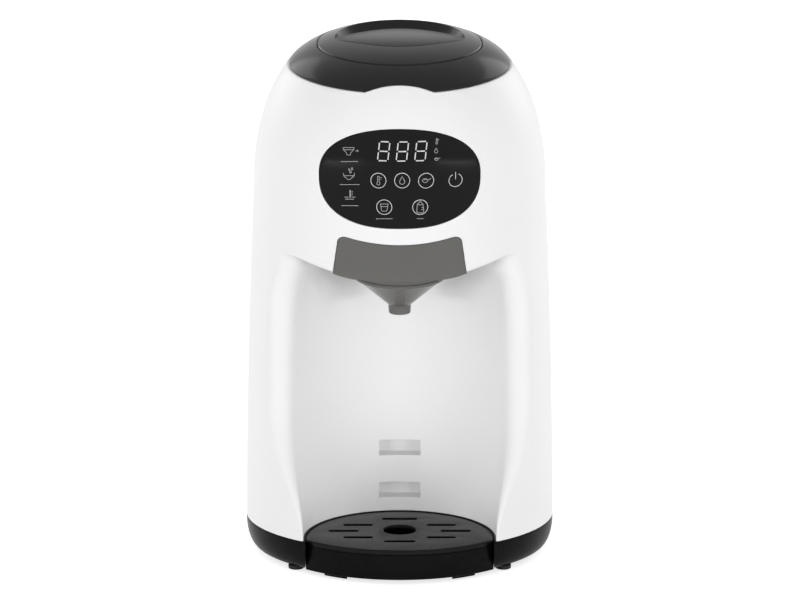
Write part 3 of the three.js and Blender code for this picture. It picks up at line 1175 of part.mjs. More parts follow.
addPart('temperature_sensor', join(
  rod(thermostat.radius, heater.top + gap, heater.top + gap + thermostat.height, thermostat.x, heater.y, 6),
  rod(thermostat.wireRadius, heater.top + thermostat.height, heater.top + 2 * thermostat.height, thermostat.x,
    heater.y, 8)),
copper);
const hoseRadius = 3.5;
addPart('tank_hose', hose(hoseRadius, [
  [dock.wellX, dock.wellY - dock.wellRadius - hosePort.reach - gap, hosePort.z], [dock.wellX, 80.5, 13.5],
    [-7, 71, 13.6],
  [-20, 64, 13.8], [-30, 59.5, 14], [pump.x, 55, pump.inletZ],
    [pump.x, pump.y + pump.radius + pump.portReach + gap, pump.inletZ],
], 3, 8), silicone);
addPart('pump_hose', hose(hoseRadius, [
  [pump.x + pump.radius + pump.portReach + gap, pump.y, pump.outletZ], [-6, pump.y, 40], [7, 33, 38],
    [20, 41, 36.5],
  [27, 48.5, 39], [heater.x, heater.y, 44], [heater.x, heater.y, heater.bottom - heater.portReach - gap],
], 3, 8), silicone);
addPart('nozzle_hose', hose(nozzle.hoseRadius, [
  [nozzle.x, dripAxisY, deckTop + gap + nozzle.flange + gap], [nozzle.x, dripAxisY, 229],
  [24, -36, 234], [31, -21, 236],
  [34, 0, 236], [34.5, 22, 235.5], [34.3, 38, 231.5], [hoseHole.x, hoseHole.y, 224],
    [hoseHole.x, hoseHole.y, 212],
  [31.5, 46, 196], [28.5, 49.3, 182], [heater.x, heater.y, heater.top + heater.portReach + gap],
], 2, 8), silicone);

// Power board on pillars in front of the frame
const power = {
  left: -58, right: -12, y: 60, thickness: 1.6, bottom: 62, top: 168, pillarRadius: 2.5, pillarInset: 6,
  coilLeft: -50, coilRight: -28, coilFront: 42, coilBottom: 76, coilTop: 100, canRadius: 6, canX: -20,
  canZ: 92, relayBottom: 120, relayTop: 136, relayFront: 46,
};
const pillars = [power.left + power.pillarInset, power.right - power.pillarInset].flatMap((x) => (
  [power.bottom + power.pillarInset, power.top - power.pillarInset].map((z) => rodAlongY(
    power.pillarRadius, power.y + power.thickness / 2, frame.frontY - gap, x, z, 10))));
addPart('power_board', join(
  box(power.left, power.right, power.y, power.y + power.thickness, power.bottom, power.top),
  box(power.coilLeft, power.coilRight, power.coilFront, power.y + power.thickness / 2, power.coilBottom,
    power.coilTop),
  rodAlongY(power.canRadius, power.coilFront, power.y + power.thickness / 2, power.canX, power.canZ, 14),
  box(power.coilLeft, power.coilRight, power.relayFront, power.y + power.thickness / 2, power.relayBottom,
    power.relayTop),
  ...pillars), boardGreen);

// The origin lies on the floor in the middle of the whole length
machine.position.y = (bodyFrontDepth - tankHinge.y - tankHinge.barrelRadius) / 2;
export default machine;
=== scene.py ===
import functools
import json
import math

import bmesh
import bpy
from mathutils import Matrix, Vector


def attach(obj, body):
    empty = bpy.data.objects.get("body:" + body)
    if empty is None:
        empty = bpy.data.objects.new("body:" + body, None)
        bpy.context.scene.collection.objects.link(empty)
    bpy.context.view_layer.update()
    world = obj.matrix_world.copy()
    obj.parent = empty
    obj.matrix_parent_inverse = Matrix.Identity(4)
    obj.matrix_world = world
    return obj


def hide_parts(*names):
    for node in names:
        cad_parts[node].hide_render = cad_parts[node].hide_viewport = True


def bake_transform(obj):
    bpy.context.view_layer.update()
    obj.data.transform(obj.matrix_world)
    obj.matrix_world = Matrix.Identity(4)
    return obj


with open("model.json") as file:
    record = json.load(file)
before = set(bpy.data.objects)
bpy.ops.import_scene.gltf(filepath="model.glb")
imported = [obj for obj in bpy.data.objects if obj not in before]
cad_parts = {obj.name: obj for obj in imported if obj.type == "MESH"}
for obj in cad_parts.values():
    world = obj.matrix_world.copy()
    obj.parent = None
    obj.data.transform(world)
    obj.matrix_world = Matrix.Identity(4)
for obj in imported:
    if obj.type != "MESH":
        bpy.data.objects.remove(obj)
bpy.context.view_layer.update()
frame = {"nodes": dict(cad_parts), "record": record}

# lengths are millimetres from the axis of the hopper, as in the part; place() turns them into metres
mm = 0.001
axisShift = -26.05
gap = 0.3
sharpest = 0.01
scene = bpy.context.scene
print("stage: frame loaded,", len(frame["nodes"]), "nodes")


def mix(low, high, share):
    return low + (high - low) * share


def clamp(value):
    return min(1.0, max(0.0, value))


def steps(count):
    return [index / count for index in range(count + 1)]


def quarter(count):  # points of a quarter round: how far it still is from the wall, and how far up
    return [(1 - math.sin(share * math.pi / 2), 1 - math.cos(share * math.pi / 2)) for share in steps(count)]


def bent(value, power):  # a power that keeps the sign
    return math.copysign(abs(value) ** power, value)


def arc(u, v, radius, first=0.0, last=360.0, count=40):
    turns = [math.radians(mix(first, last, share)) for share in steps(count)]
    return [(u + radius * math.cos(turn), v + radius * math.sin(turn)) for turn in turns]


def circle(u, v, radius, count):
    return arc(u, v, radius, count=count)[:-1]


def place(x, y, z):
    return (x * mm, (y + axisShift) * mm, z * mm)


# meshes from points and faces

def cleanUp(piece, sharp=30, joinDistance=2e-6):
    work = bmesh.new()
    work.from_mesh(piece.data)
    bmesh.ops.remove_doubles(work, verts=work.verts, dist=joinDistance)
    bmesh.ops.dissolve_degenerate(work, edges=work.edges, dist=joinDistance)
    bmesh.ops.recalc_face_normals(work, faces=work.faces)
    for face in work.faces:
        face.smooth = True
    for edge in work.edges:
        edge.smooth = edge.is_manifold and edge.calc_face_angle(0) < math.radians(sharp)
    work.to_mesh(piece.data)
    work.free()
    return piece


def linked(name, data):
    piece = bpy.data.objects.new(name, data)
    scene.collection.objects.link(piece)
    return piece


def newPiece(name, points, faces, sharp=30):
    mesh = bpy.data.meshes.new(name)
    mesh.from_pydata([place(*point) for point in points], [], faces)
    return cleanUp(linked(name, mesh), sharp)


def shownMesh(piece):  # what the modifiers show, as a plain mesh
    return bpy.data.meshes.new_from_object(piece.evaluated_get(bpy.context.evaluated_depsgraph_get()))


def bake(piece):
    mesh, old = shownMesh(piece), piece.data
    piece.modifiers.clear()
    piece.data = mesh
    mesh.name = piece.name
    bpy.data.meshes.remove(old)


def carve(piece, operation, *tools):
    for tool in tools:
        modifier = piece.modifiers.new("carve", "BOOLEAN")
        modifier.operation = operation
        modifier.solver = "MANIFOLD"
        modifier.object = tool
    bake(piece)
    for tool in tools:
        bpy.data.objects.remove(tool)
    if not piece.data.polygons:
        raise ValueError(piece.name + " is empty after " + operation)
    return cleanUp(piece, joinDistance=1e-6)


def bevel(piece, width, segments=2, angle=50):
    modifier = piece.modifiers.new("edge", "BEVEL")
    modifier.width = width * mm
    modifier.segments = segments
    modifier.limit_method = "ANGLE"
    modifier.angle_limit = math.radians(angle)
    modifier.harden_normals = False
    bake(piece)
    return cleanUp(piece, joinDistance=1e-6)


def wallPiece(name, outer, inner):  # a wall between two grids of points, closed along its four edges
    columns, rows = len(outer), len(outer[0])
    points = [point for grid in (outer, inner) for column in grid for point in column]

    def at(layer, column, row):
        return (layer * columns + column) * rows + row
    faces = []
    for c in range(columns - 1):
        for layer in (0, 1):
            faces += [(at(layer, c, r), at(layer, c + 1, r), at(layer, c + 1, r + 1), at(layer, c, r + 1))
                for r in range(rows - 1)]
        faces += [(at(0, c, r), at(1, c, r), at(1, c + 1, r), at(0, c + 1, r)) for r in (0, rows - 1)]
    for c in (0, columns - 1):
        faces += [(at(0, c, r), at(1, c, r), at(1, c, r + 1), at(0, c, r + 1)) for r in range(rows - 1)]
    return newPiece(name, points, faces)


def loftPiece(name, rings, sharp=30):  # a solid through closed rings of equal count, with flat ends
    count = len(rings[0])
    points = [point for ring in rings for point in ring]
    faces = []
    for start in range(0, len(points) - count, count):
        for c in range(count):
            n = (c + 1) % count
            faces.append((start + c, start + n, start + count + n, start + count + c))
    faces.append(tuple(reversed(range(count))))
    faces.append(tuple(range(len(points) - count, len(points))))
    return newPiece(name, points, faces, sharp)


def prism(name, outline, low, high):
    return loftPiece(name, [[(x, y, z) for x, y in outline] for z in (low, high)])


def turnedPiece(name, profile, centre=(0, 0), sides=128, sharp=30):
    # the profile lists (radius, height); it ends on the axis or closes on itself
    points = []
    for c, s in circle(0, 0, 1, sides):
        points += [(centre[0] + radius * c, centre[1] + radius * s, height) for radius, height in profile]
    count = len(profile)
    faces = []
    for side in range(sides):
        here, after = side * count, (side + 1) % sides * count
        faces += [(here + p, after + p, after + p + 1, here + p + 1) for p in range(count - 1)]
    return newPiece(name, points, faces, sharp)


def rod(name, radius, low, high, centre, sides=40):
    return turnedPiece(name, [(0, low), (radius, low), (radius, high), (0, high)], centre, sides)


def rounded(corners, reach=0.4, arcSteps=4, sideShare=0.46):
    # each corner is (u, v) or (u, v, its own reach); the round starts that far from the corner
    done = []
    for index, corner in enumerate(corners):
        here, own = Vector(corner[:2]), corner[2] if len(corner) > 2 else reach
        before = Vector(corners[index - 1][:2]) - here
        after = Vector(corners[(index + 1) % len(corners)][:2]) - here
        cut = min(own, before.length * sideShare, after.length * sideShare)
        start, end = here + before.normalized() * cut, here + after.normalized() * cut
        done += [tuple(start * (1 - s) ** 2 + here * 2 * s * (1 - s) + end * s ** 2) for s in steps(arcSteps)]
    return done


def slabPiece(name, outlineAt, low, high, edge, topEdge=None, offset=0.0, alongY=False):
    # outlineAt gives the outline for an inset, which starts at the offset; both rims are rounded
    rings = []
    for level, own, way in ((low, edge, 1), (high, edge if topEdge is None else topEdge, -1)):
        turns = quarter(4) if own > 0 else [(0, 1)]
        for still, up in turns[::way]:
            rings.append([(u, v, level + way * own * up) for u, v in outlineAt(offset + own * still)])
    if alongY:
        rings = [[(u, w, v) for u, v, w in ring] for ring in rings]
    return loftPiece(name, rings)


def boxOutline(u0, u1, v0, v1, corner, arcSteps=4):
    return rounded([(u0, v0), (u1, v0), (u1, v1), (u0, v1)], corner, arcSteps)


def boxPiece(name, x0, x1, y0, y1, z0, z1, corner, edge, alongY=False):
    v0, v1, first, last = (z0, z1, y0, y1) if alongY else (y0, y1, z0, z1)

    def outlineAt(inset):
        near = corner - inset if corner > inset else sharpest
        return boxOutline(x0 + inset, x1 - inset, v0 + inset, v1 - inset, near)
    return slabPiece(name, outlineAt, first, last, edge, alongY=alongY)


def alongX(name, radius, x0, x1, y, z, sides=40, edge=0.0):
    rows = [(x0, radius), (x1, radius)]
    if edge:
        rows = [(x0, radius - edge), (x0 + edge, radius), (x1 - edge, radius), (x1, radius - edge)]
    return loftPiece(name, [[(x, u, v) for u, v in circle(y, z, reach, sides)] for x, reach in rows])


def alongY(name, radius, y0, y1, x, z, sides=40):
    return loftPiece(name, [[(u, y, v) for u, v in circle(x, z, radius, sides)] for y in (y0, y1)])


# node trees for what repeats or follows a path, and for what several materials share

def nodeTools(tree):
    def add(kind, feeds=(), **settings):  # a feed is a plain value or a socket to link from
        node = tree.nodes.new(kind)
        for key, value in settings.items():
            setattr(node, key, value)
        for label, value in dict(feeds).items():
            if isinstance(value, bpy.types.NodeSocket):
                tree.links.new(value, node.inputs[label])
            else:
                node.inputs[label].default_value = value
        return node

    def calc(operation, *values):
        return add("ShaderNodeMath", dict(enumerate(values)), operation=operation).outputs["Value"]
    return add, calc


def ranged(add, value, low, high, first=0.0, last=1.0, **settings):
    feeds = {"Value": value, "From Min": low, "From Max": high, "To Min": first, "To Max": last}
    return add("ShaderNodeMapRange", feeds, **settings).outputs["Result"]


def tint(add, share, first, second):
    return add("ShaderNodeMix", {"Factor": share, 6: first, 7: second}, data_type="RGBA").outputs[2]


def newGroup(name, inputs, outputs, kind="ShaderNodeTree"):
    # an input has a number or a colour to start with, or else the name of what it carries
    group = bpy.data.node_groups.new(name, kind)
    for label, value in inputs.items():
        carries = value if isinstance(value, str) else "Color" if isinstance(value, tuple) else "Float"
        socket = group.interface.new_socket(label, in_out="INPUT", socket_type="NodeSocket" + carries)
        if carries != value:
            socket.default_value = value
    for label, carries in outputs.items():
        group.interface.new_socket(label, in_out="OUTPUT", socket_type="NodeSocket" + carries)
    add, calc = nodeTools(group)
    return group, add, calc, add("NodeGroupInput").outputs


def swept(add, curve, profile):
    feeds = {"Curve": curve.outputs["Curve"], "Profile Curve": profile.outputs["Curve"], "Fill Caps": True}
    return add("GeometryNodeCurveToMesh", feeds).outputs["Mesh"]


def spread(add, given, instance):
    feeds = {"Points": given["Geometry"], "Instance": instance}
    return add("GeometryNodeInstanceOnPoints", feeds).outputs["Instances"]


def noise(add, vector, size, detail=2.0):
    return add("ShaderNodeTexNoise", {"Vector": vector, "Scale": size, "Detail": detail}).outputs["Fac"]


def newTree(name, **sizes):
    inputs = {"Geometry": "Geometry", "Finish": "Material"}
    inputs.update({label.replace("_", " "): value for label, value in sizes.items()})
    return newGroup(name, inputs, {"Geometry": "Geometry"}, "GeometryNodeTree")


def endTree(tree, add, given, geometry):
    real = add("GeometryNodeRealizeInstances", {"Geometry": geometry}).outputs["Geometry"]
    paint = add("GeometryNodeSetMaterial", {"Geometry": real, "Material": given["Finish"]})
    add("NodeGroupOutput", {"Geometry": paint.outputs["Geometry"]})
    return tree


def grown(name, base, tree, values):  # runs a tree on a piece and keeps the result as a plain mesh
    modifier = base.modifiers.new(tree.name, "NODES")
    modifier.node_group = tree
    for item in tree.interface.items_tree:
        if item.in_out == "INPUT" and item.name in values:
            modifier[item.identifier] = values[item.name]
    mesh = shownMesh(base)
    mesh.name = name
    base.modifiers.clear()
    bpy.data.objects.remove(base)
    return linked(name, mesh)


def pointCloud(name, points):
    mesh = bpy.data.meshes.new(name)
    mesh.from_pydata([place(*point) for point in points], [], [])
    return linked(name, mesh)


def finer(stroke, step):  # the same stroke with a point every step or closer
    done = [stroke[0]]
    for start, end in zip(stroke, stroke[1:]):
        count = max(1, math.ceil((Vector(end) - Vector(start)).length / step))
        done += [tuple(Vector(start).lerp(Vector(end), share)) for share in steps(count)[1:]]
    return done


def lineDrawing(name, strokes):  # a stroke is a list of (x, y, z); one that ends where it starts is closed
    curve = bpy.data.curves.new(name, "CURVE")
    curve.dimensions = "3D"
    for stroke in strokes:
        loop = len(stroke) > 3 and (Vector(stroke[0]) - Vector(stroke[-1])).length < 1e-9
        kept = stroke[:-1] if loop else stroke
        spline = curve.splines.new("POLY")
        spline.points.add(len(kept) - 1)
        spline.use_cyclic_u = loop
        for point, at in zip(spline.points, kept):
            point.co = (*at, 1.0)
    return linked(name, curve)


def barTree():  # sweeps a flat bar along each stroke
    tree, add, calc, given = newTree("sweptBars", Bar_Width=0.0019, Bar_Height=0.01)
    section = add("GeometryNodeCurvePrimitiveQuadrilateral", {"Width": given["Bar Width"],
        "Height": given["Bar Height"]})
    upright = add("GeometryNodeSetCurveNormal", {"Curve": given["Geometry"]}, mode="Z_UP")
    return endTree(tree, add, given, swept(add, upright, section))


def discTree():  # a disc with a rounded lower edge on each point
    tree, add, calc, given = newTree("roundFeet", Radius=0.005, Height=0.003, Edge=0.0008)
    disc = add("GeometryNodeMeshCylinder", {"Vertices": 64, "Side Segments": 14, "Radius": given["Radius"],
        "Depth": given["Height"]}, fill_type="TRIANGLE_FAN")
    position = add("GeometryNodeInputPosition").outputs["Position"]
    spot = add("ShaderNodeSeparateXYZ", {"Vector": position}).outputs
    rise = calc("ADD", spot["Z"], calc("MULTIPLY", given["Height"], 0.5))
    below = calc("MAXIMUM", calc("SUBTRACT", 1.0, calc("DIVIDE", rise, given["Edge"])), 0.0)
    across = calc("SQRT", calc("MAXIMUM", calc("SUBTRACT", 1.0, calc("MULTIPLY", below, below)), 0.0))
    pull = calc("DIVIDE", calc("MULTIPLY", calc("SUBTRACT", 1.0, across), given["Edge"]), given["Radius"])
    factor = calc("SUBTRACT", 1.0, pull)
    moved = add("ShaderNodeCombineXYZ", {"X": calc("MULTIPLY", spot["X"], factor),
        "Y": calc("MULTIPLY", spot["Y"], factor), "Z": rise})
    shape = add("GeometryNodeSetPosition", {"Geometry": disc.outputs["Mesh"],
        "Position": moved.outputs["Vector"]})
    return endTree(tree, add, given, spread(add, given, shape.outputs["Geometry"]))


sweptBars, roundFeet = barTree(), discTree()


def bars(name, strokes, width, height):
    values = {"Bar Width": width * mm, "Bar Height": height * mm}
    return grown(name, lineDrawing(name + "Strokes", strokes), sweptBars, values)


def discs(name, spots, radius, height, edge, slot=None):
    values = {"Radius": radius * mm, "Height": height * mm, "Edge": edge * mm}
    if slot:
        values["Finish"] = materials[slot]
    return cleanUp(grown(name, pointCloud(name + "Spots", spots), roundFeet, values), 40)


print("stage: tools ready")


def mouldedGroup():  # cloudy colour, fine spark-eroded grain and uneven gloss of moulded plastic
    group, add, calc, given = newGroup("mouldedPlastic", {"Colour": (0.8, 0.8, 0.8, 1),
        "Cloud Colour": (0.7, 0.7, 0.7, 1), "Cloud Size": 40.0, "Grain Size": 1800.0, "Smoothest": 0.3,
        "Roughest": 0.45}, {"Colour": "Color", "Roughness": "Float", "Height": "Float"})
    where = add("ShaderNodeTexCoord").outputs["Object"]
    clouds, grain = noise(add, where, given["Cloud Size"], 3.0), noise(add, where, given["Grain Size"])
    colour = tint(add, ranged(add, clouds, 0.3, 0.7), given["Colour"], given["Cloud Colour"])
    gloss = ranged(add, calc("MULTIPLY", clouds, grain), 0.12, 0.4, given["Smoothest"], given["Roughest"])
    add("NodeGroupOutput", {"Colour": colour, "Roughness": gloss, "Height": grain})
    return group


def edgeWearAndHighlightGroup():  # how far edges and corners are painted lighter, partly as rubbed wear and partly as a painted highlight, broken up by a little noise
    group, add, calc, given = newGroup("edgeWearAndHighlight", {"Amount": 0.4, "Break Up": 120.0}, {"Mask": "Float"})
    where = add("ShaderNodeTexCoord").outputs["Object"]
    patches = noise(add, where, given["Break Up"])
    ridge = ranged(add, add("ShaderNodeNewGeometry").outputs["Pointiness"], 0.53, 0.62)
    add("NodeGroupOutput", {"Mask": calc("MULTIPLY", calc("MULTIPLY", ridge, patches), given["Amount"])})
    return group


def brushedGroup():  # fine lines of drawn or turned metal
    group, add, calc, given = newGroup("brushedMetal", {"Line Size": 900.0, "Stretch": 12.0, "Smoothest": 0.2,
        "Roughest": 0.42}, {"Roughness": "Float", "Height": "Float"})
    stretch = add("ShaderNodeCombineXYZ", {"X": 1.0, "Y": 1.0, "Z": given["Stretch"]}).outputs["Vector"]
    where = add("ShaderNodeVectorMath", {0: add("ShaderNodeTexCoord").outputs["Object"], 1: stretch},
        operation="MULTIPLY").outputs["Vector"]
    lines = noise(add, where, given["Line Size"])
    gloss = ranged(add, lines, 0.35, 0.65, given["Smoothest"], given["Roughest"])
    add("NodeGroupOutput", {"Roughness": gloss, "Height": lines})
    return group


mouldedPlastic, edgeWearAndHighlight, brushedMetal = mouldedGroup(), edgeWearAndHighlightGroup(), brushedGroup()

# the edge colour paints edges and corners lighter: partly rubbed wear, partly a painted highlight
plasticKeys = ("colour", "cloud", "cloudSize", "grain", "depth", "smooth", "rough", "specular", "wearAndHighlightAmount",
    "edge")
plastics = {
    "white_shell": ((0.862, 0.862, 0.862), (0.852, 0.852, 0.854), 14, 2600, 0.06, 0.34, 0.44, 0.4),
    "black_base": ((0.0018, 0.0018, 0.0019), (0.0028, 0.0028, 0.003), 30, 1500, 0.14, 0.24, 0.34, 0.08, 0.2,
        (0.03, 0.03, 0.031)),
    "dark_lid": ((0.004, 0.004, 0.004), (0.0055, 0.0055, 0.0057), 26, 2200, 0.08, 0.16, 0.24, 0.24, 0.2,
        (0.04, 0.04, 0.041)),
    "grate_black": ((0.003, 0.003, 0.003), (0.004, 0.004, 0.0042), 26, 1800, 0.1, 0.2, 0.3, 0.15, 0.15,
        (0.02, 0.02, 0.0205)),
    "touch_panel": ((0.005, 0.005, 0.005), (0.006, 0.006, 0.0062), 20, 500, 0.004, 0.07, 0.12, 0.14, 0.1,
        (0.05, 0.05, 0.052)),
    "grey_plastic": ((0.46, 0.46, 0.455), (0.42, 0.42, 0.42), 30, 1700, 0.12, 0.42, 0.58, 0.4, 0.2,
        (0.62, 0.62, 0.61)),
    "white_plastic": ((0.74, 0.735, 0.72), (0.69, 0.685, 0.67), 28, 1900, 0.1, 0.36, 0.5, 0.4, 0.15,
        (0.82, 0.82, 0.8)),
    "black_plastic": ((0.014, 0.014, 0.014), (0.02, 0.02, 0.02), 34, 1500, 0.14, 0.38, 0.52, 0.45, 0.3,
        (0.07, 0.07, 0.07)),
    "rubber_black": ((0.018, 0.018, 0.0175), (0.03, 0.03, 0.029), 60, 1100, 0.3, 0.72, 0.88, 0.3, 0.3,
        (0.08, 0.08, 0.078)),
    "silicone": ((0.66, 0.655, 0.63), (0.58, 0.575, 0.55), 50, 900, 0.12, 0.5, 0.66, 0.35, 0.1,
        (0.75, 0.74, 0.72)),
    "board_green": ((0.012, 0.085, 0.035), (0.02, 0.12, 0.05), 160, 700, 0.2, 0.3, 0.5, 0.5, 0.3,
        (0.1, 0.2, 0.1)),
    "panel_print": ((0.44, 0.44, 0.44), (0.4, 0.4, 0.4), 300, 3000, 0.02, 0.3, 0.45, 0.3),
    "digit_print": ((0.72, 0.72, 0.71), (0.62, 0.62, 0.61), 300, 3000, 0.02, 0.3, 0.45, 0.3),
}
metalKeys = ("colour", "cloud", "cloudSize", "lines", "stretch", "smooth", "rough")
metals = {
    "steel": ((0.58, 0.585, 0.59), (0.42, 0.425, 0.43), 45, 1200, 0.08, 0.2, 0.38),
    "heater_metal": ((0.5, 0.5, 0.5), (0.34, 0.33, 0.32), 55, 700, 0.05, 0.34, 0.55),
    "copper": ((0.72, 0.36, 0.2), (0.42, 0.2, 0.12), 90, 1500, 0.1, 0.25, 0.5),
}
clearKeys = ("colour", "cloud", "grain", "depth", "smooth", "rough", "through", "ior")
clears = {
    "smoky_plastic": ((0.18, 0.176, 0.165), (0.165, 0.161, 0.151), 1400, 0.02, 0.13, 0.2, 0.4, 1.46),
    "clear_plastic": ((0.74, 0.8, 0.83), (0.7, 0.77, 0.8), 900, 0.03, 0.06, 0.14, 0.88, 1.45),
}
finishes = {name: dict(zip(plasticKeys, row)) for name, row in plastics.items()}
finishes.update({name: dict(zip(metalKeys, row), depth=0.08, metallic=1.0) for name, row in metals.items()})
finishes.update({name: dict(zip(clearKeys, row), cloudSize=18) for name, row in clears.items()})
skinSockets = {
    "colour": "Colour", "cloud": "Cloud Colour", "cloudSize": "Cloud Size", "grain": "Grain Size",
    "smooth": "Smoothest", "rough": "Roughest",
}
lineSockets = {"lines": "Line Size", "stretch": "Stretch", "smooth": "Smoothest", "rough": "Roughest"}
shaderSockets = {
    "specular": "Specular IOR Level", "metallic": "Metallic", "through": "Transmission Weight", "ior": "IOR",
}
bumpDistance = 0.0001


def chosen(look, sockets):
    found = {label: look[key] for key, label in sockets.items() if key in look}
    return {label: (*value, 1) if isinstance(value, tuple) else value for label, value in found.items()}


def surface(add, look):  # what a finish feeds into its shader
    skin = add("ShaderNodeGroup", node_tree=mouldedPlastic, feeds=chosen(look, skinSockets)).outputs
    colour, relief = skin["Colour"], skin
    if "lines" in look:
        relief = add("ShaderNodeGroup", node_tree=brushedMetal, feeds=chosen(look, lineSockets)).outputs
    # edges painted lighter: partly rubbed wear, partly a painted highlight
    if "wearAndHighlightAmount" in look:
        wearAndHighlightMask = add("ShaderNodeGroup", node_tree=edgeWearAndHighlight, feeds={"Amount": look["wearAndHighlightAmount"]}).outputs["Mask"]
        colour = tint(add, wearAndHighlightMask, colour, (*look["edge"], 1))
    bump = add("ShaderNodeBump", {"Strength": look["depth"], "Distance": bumpDistance,
        "Height": relief["Height"]})
    return {"Base Color": colour, "Roughness": relief["Roughness"], "Normal": bump.outputs["Normal"],
        **chosen(look, shaderSockets)}


def startMaterial(name):
    material = bpy.data.materials.new(name)
    material.use_nodes = True
    material.node_tree.nodes.clear()
    return material, *nodeTools(material.node_tree)


def endMaterial(material, add, feeds):
    shader = add("ShaderNodeBsdfPrincipled", feeds)
    add("ShaderNodeOutputMaterial", {"Surface": shader.outputs["BSDF"]})
    return material


def finishMaterial(name, look):
    material, add, calc = startMaterial(name)
    return endMaterial(material, add, surface(add, look))


materials = {name: finishMaterial(name, look) for name, look in finishes.items()}
slotOf = {entry["node"]: entry["material_slot"] for entry in frame["record"]["subparts"]}
for nodeName, node in frame["nodes"].items():
    node.data.materials.clear()
    node.data.materials.append(materials[slotOf[nodeName]])
print("stage: materials ready")


def finishPiece(piece, body, slot, *replaced, material=None):
    piece.data.materials.clear()
    piece.data.materials.append(material or materials[slot])
    for polygon in piece.data.polygons:
        polygon.material_index = 0
    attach(piece, body)
    if replaced:
        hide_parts(*replaced)


# the plan of the body: an ellipse in front, squarer behind, round at the top where the lid sits
body = {
    "halfWidth": 100, "frontDepth": 88, "rearDepth": 78, "bottom": 23.2, "shoulder": 240, "domeReach": 125,
    "top": 327.5, "topRadius": 73.5, "sideTaper": 4.7, "sidePower": 1.95, "frontTaper": 2, "seamY": 8,
    "squareBelow": 200, "roundAbove": 275, "squareness": 4.5, "rearEase": 2.2, "wall": 2.5, "edge": 0.45,
    "frontSwell": 3.66, "sideSwell": 2.55,
}


@functools.lru_cache(maxsize=None)
def bodyPlan(z, inset=0.0):
    lift = clamp((z - body["bottom"]) / (body["shoulder"] - body["bottom"]))
    rise = clamp((z - body["shoulder"]) / body["domeReach"])
    topRise = (body["top"] - body["shoulder"]) / body["domeReach"]

    def swell(power):
        low = math.sqrt(1 - topRise ** power)
        return (math.sqrt(1 - rise ** power) - low) / (1 - low)
    front = mix(body["topRadius"], body["frontDepth"] - body["frontTaper"] * lift, swell(body["frontSwell"]))
    widest = body["halfWidth"] - body["sideTaper"] * lift ** body["sidePower"]
    half = mix(body["topRadius"], widest, swell(body["sideSwell"]))
    topShare = clamp((z - body["shoulder"]) / (body["top"] - body["shoulder"]))
    rear = front * mix(body["rearDepth"] / body["frontDepth"], 1, topShare ** body["rearEase"])
    roundness = clamp((z - body["squareBelow"]) / (body["roundAbove"] - body["squareBelow"]))
    return half - inset, front - inset, rear - inset, mix(body["squareness"], 2, roundness)


def frontY(x, z, inset=0.0):
    half, front, rear, power = bodyPlan(z, inset)
    return -front * math.sqrt(max(0.0, 1 - (x / half) ** 2))


def rearHalfWidth(y, z, inset=0.0):
    half, front, rear, power = bodyPlan(z, inset)
    return half * (1 - (y / rear) ** power) ** (1 / power)


def bodyRing(z, inset, count=200):
    half, front, rear, power = bodyPlan(z, inset)
    ring = []
    for c, s in circle(0, 0, 1, count):
        share, depth = (2 / power, rear) if s > 0 else (1, front)
        ring.append((half * bent(c, share), depth * bent(s, share)))
    return ring


# the bay in the front shell
bay = {
    "radius": 62.7, "centreY": -60.1, "headBottom": 204, "archRise": 10, "archReach": 66.8, "lipRadius": 3,
    "ceilingRadius": 8, "turnShare": 0.45, "edgeBottom": 1, "edgeMiddle": 9, "edgeTop": 11, "lowerEase": 1.8,
    "upperEase": 0.6, "flare": 0.15, "flareRise": 0.45, "flareFall": 0.55, "flarePower": 5, "smallest": 0.2,
    "sideColumns": 34, "edgeColumns": 12, "bayColumns": 40, "wallRows": 40, "roundRows": 9, "ceilingRows": 8,
    "headRows": 46, "halvings": 36,
}
bayBack = bay["centreY"] + bay["radius"]


def bayEdgeRadius(z):
    swell = math.sin(math.pi * clamp((z - body["bottom"]) / (bay["headBottom"] - body["bottom"])))
    if z < (body["bottom"] + bay["headBottom"]) / 2:
        return mix(bay["edgeBottom"], bay["edgeMiddle"], swell ** bay["lowerEase"])
    return mix(bay["edgeTop"], bay["edgeMiddle"], swell ** bay["upperEase"])


def bayStretch(z):  # how much wider the bay is than at its foot
    level = clamp((z - body["bottom"]) / (bay["headBottom"] - body["bottom"]))
    rise = clamp(level / bay["flareRise"])
    fall = clamp((level - bay["flareFall"]) / (1 - bay["flareFall"]))
    return 1 + bay["flare"] * rise ** 2 * (3 - 2 * rise) * (1 - fall ** bay["flarePower"])


@functools.lru_cache(maxsize=None)
def bayEdge(z, inset):
    # where the round of the bay's long edge touches the body and the wall of the bay, in widths at the foot
    half, front, rear, power = bodyPlan(z, inset)
    half /= bayStretch(z)
    radius = bay["radius"] + inset
    edge = max(bayEdgeRadius(z) - inset, bay["smallest"])

    def centreAt(angle):
        x, y = half * math.sin(angle), -front * math.cos(angle)
        normal = Vector((x / half ** 2, y / front ** 2)).normalized()
        return x - edge * normal.x, y - edge * normal.y
    low, high = 0.0, math.pi / 2
    for turn in range(bay["halvings"]):
        angle = (low + high) / 2
        x, y = centreAt(angle)
        reach = math.hypot(x, y - bay["centreY"]) if y > bay["centreY"] else x
        low, high = (angle, high) if reach < radius + edge else (low, angle)
    centreX, centreY = centreAt(low)
    start = math.atan2(-front * math.cos(low) - centreY, half * math.sin(low) - centreX)
    towards = math.atan2(bay["centreY"] - centreY, -centreX) if centreY > bay["centreY"] else -math.pi
    lastX, lastY = centreX + edge * math.cos(towards), centreY + edge * math.sin(towards)
    return radius, edge, low, centreX, centreY, start, towards, math.atan2(lastY - bay["centreY"], lastX)


bayColumns = [("seam", 0.0)] + [("side", share) for share in steps(bay["sideColumns"])]
bayColumns += [("edge", share) for share in steps(bay["edgeColumns"])[1:]]
bayColumns += [("bay", share) for share in steps(bay["bayColumns"])[1:]]


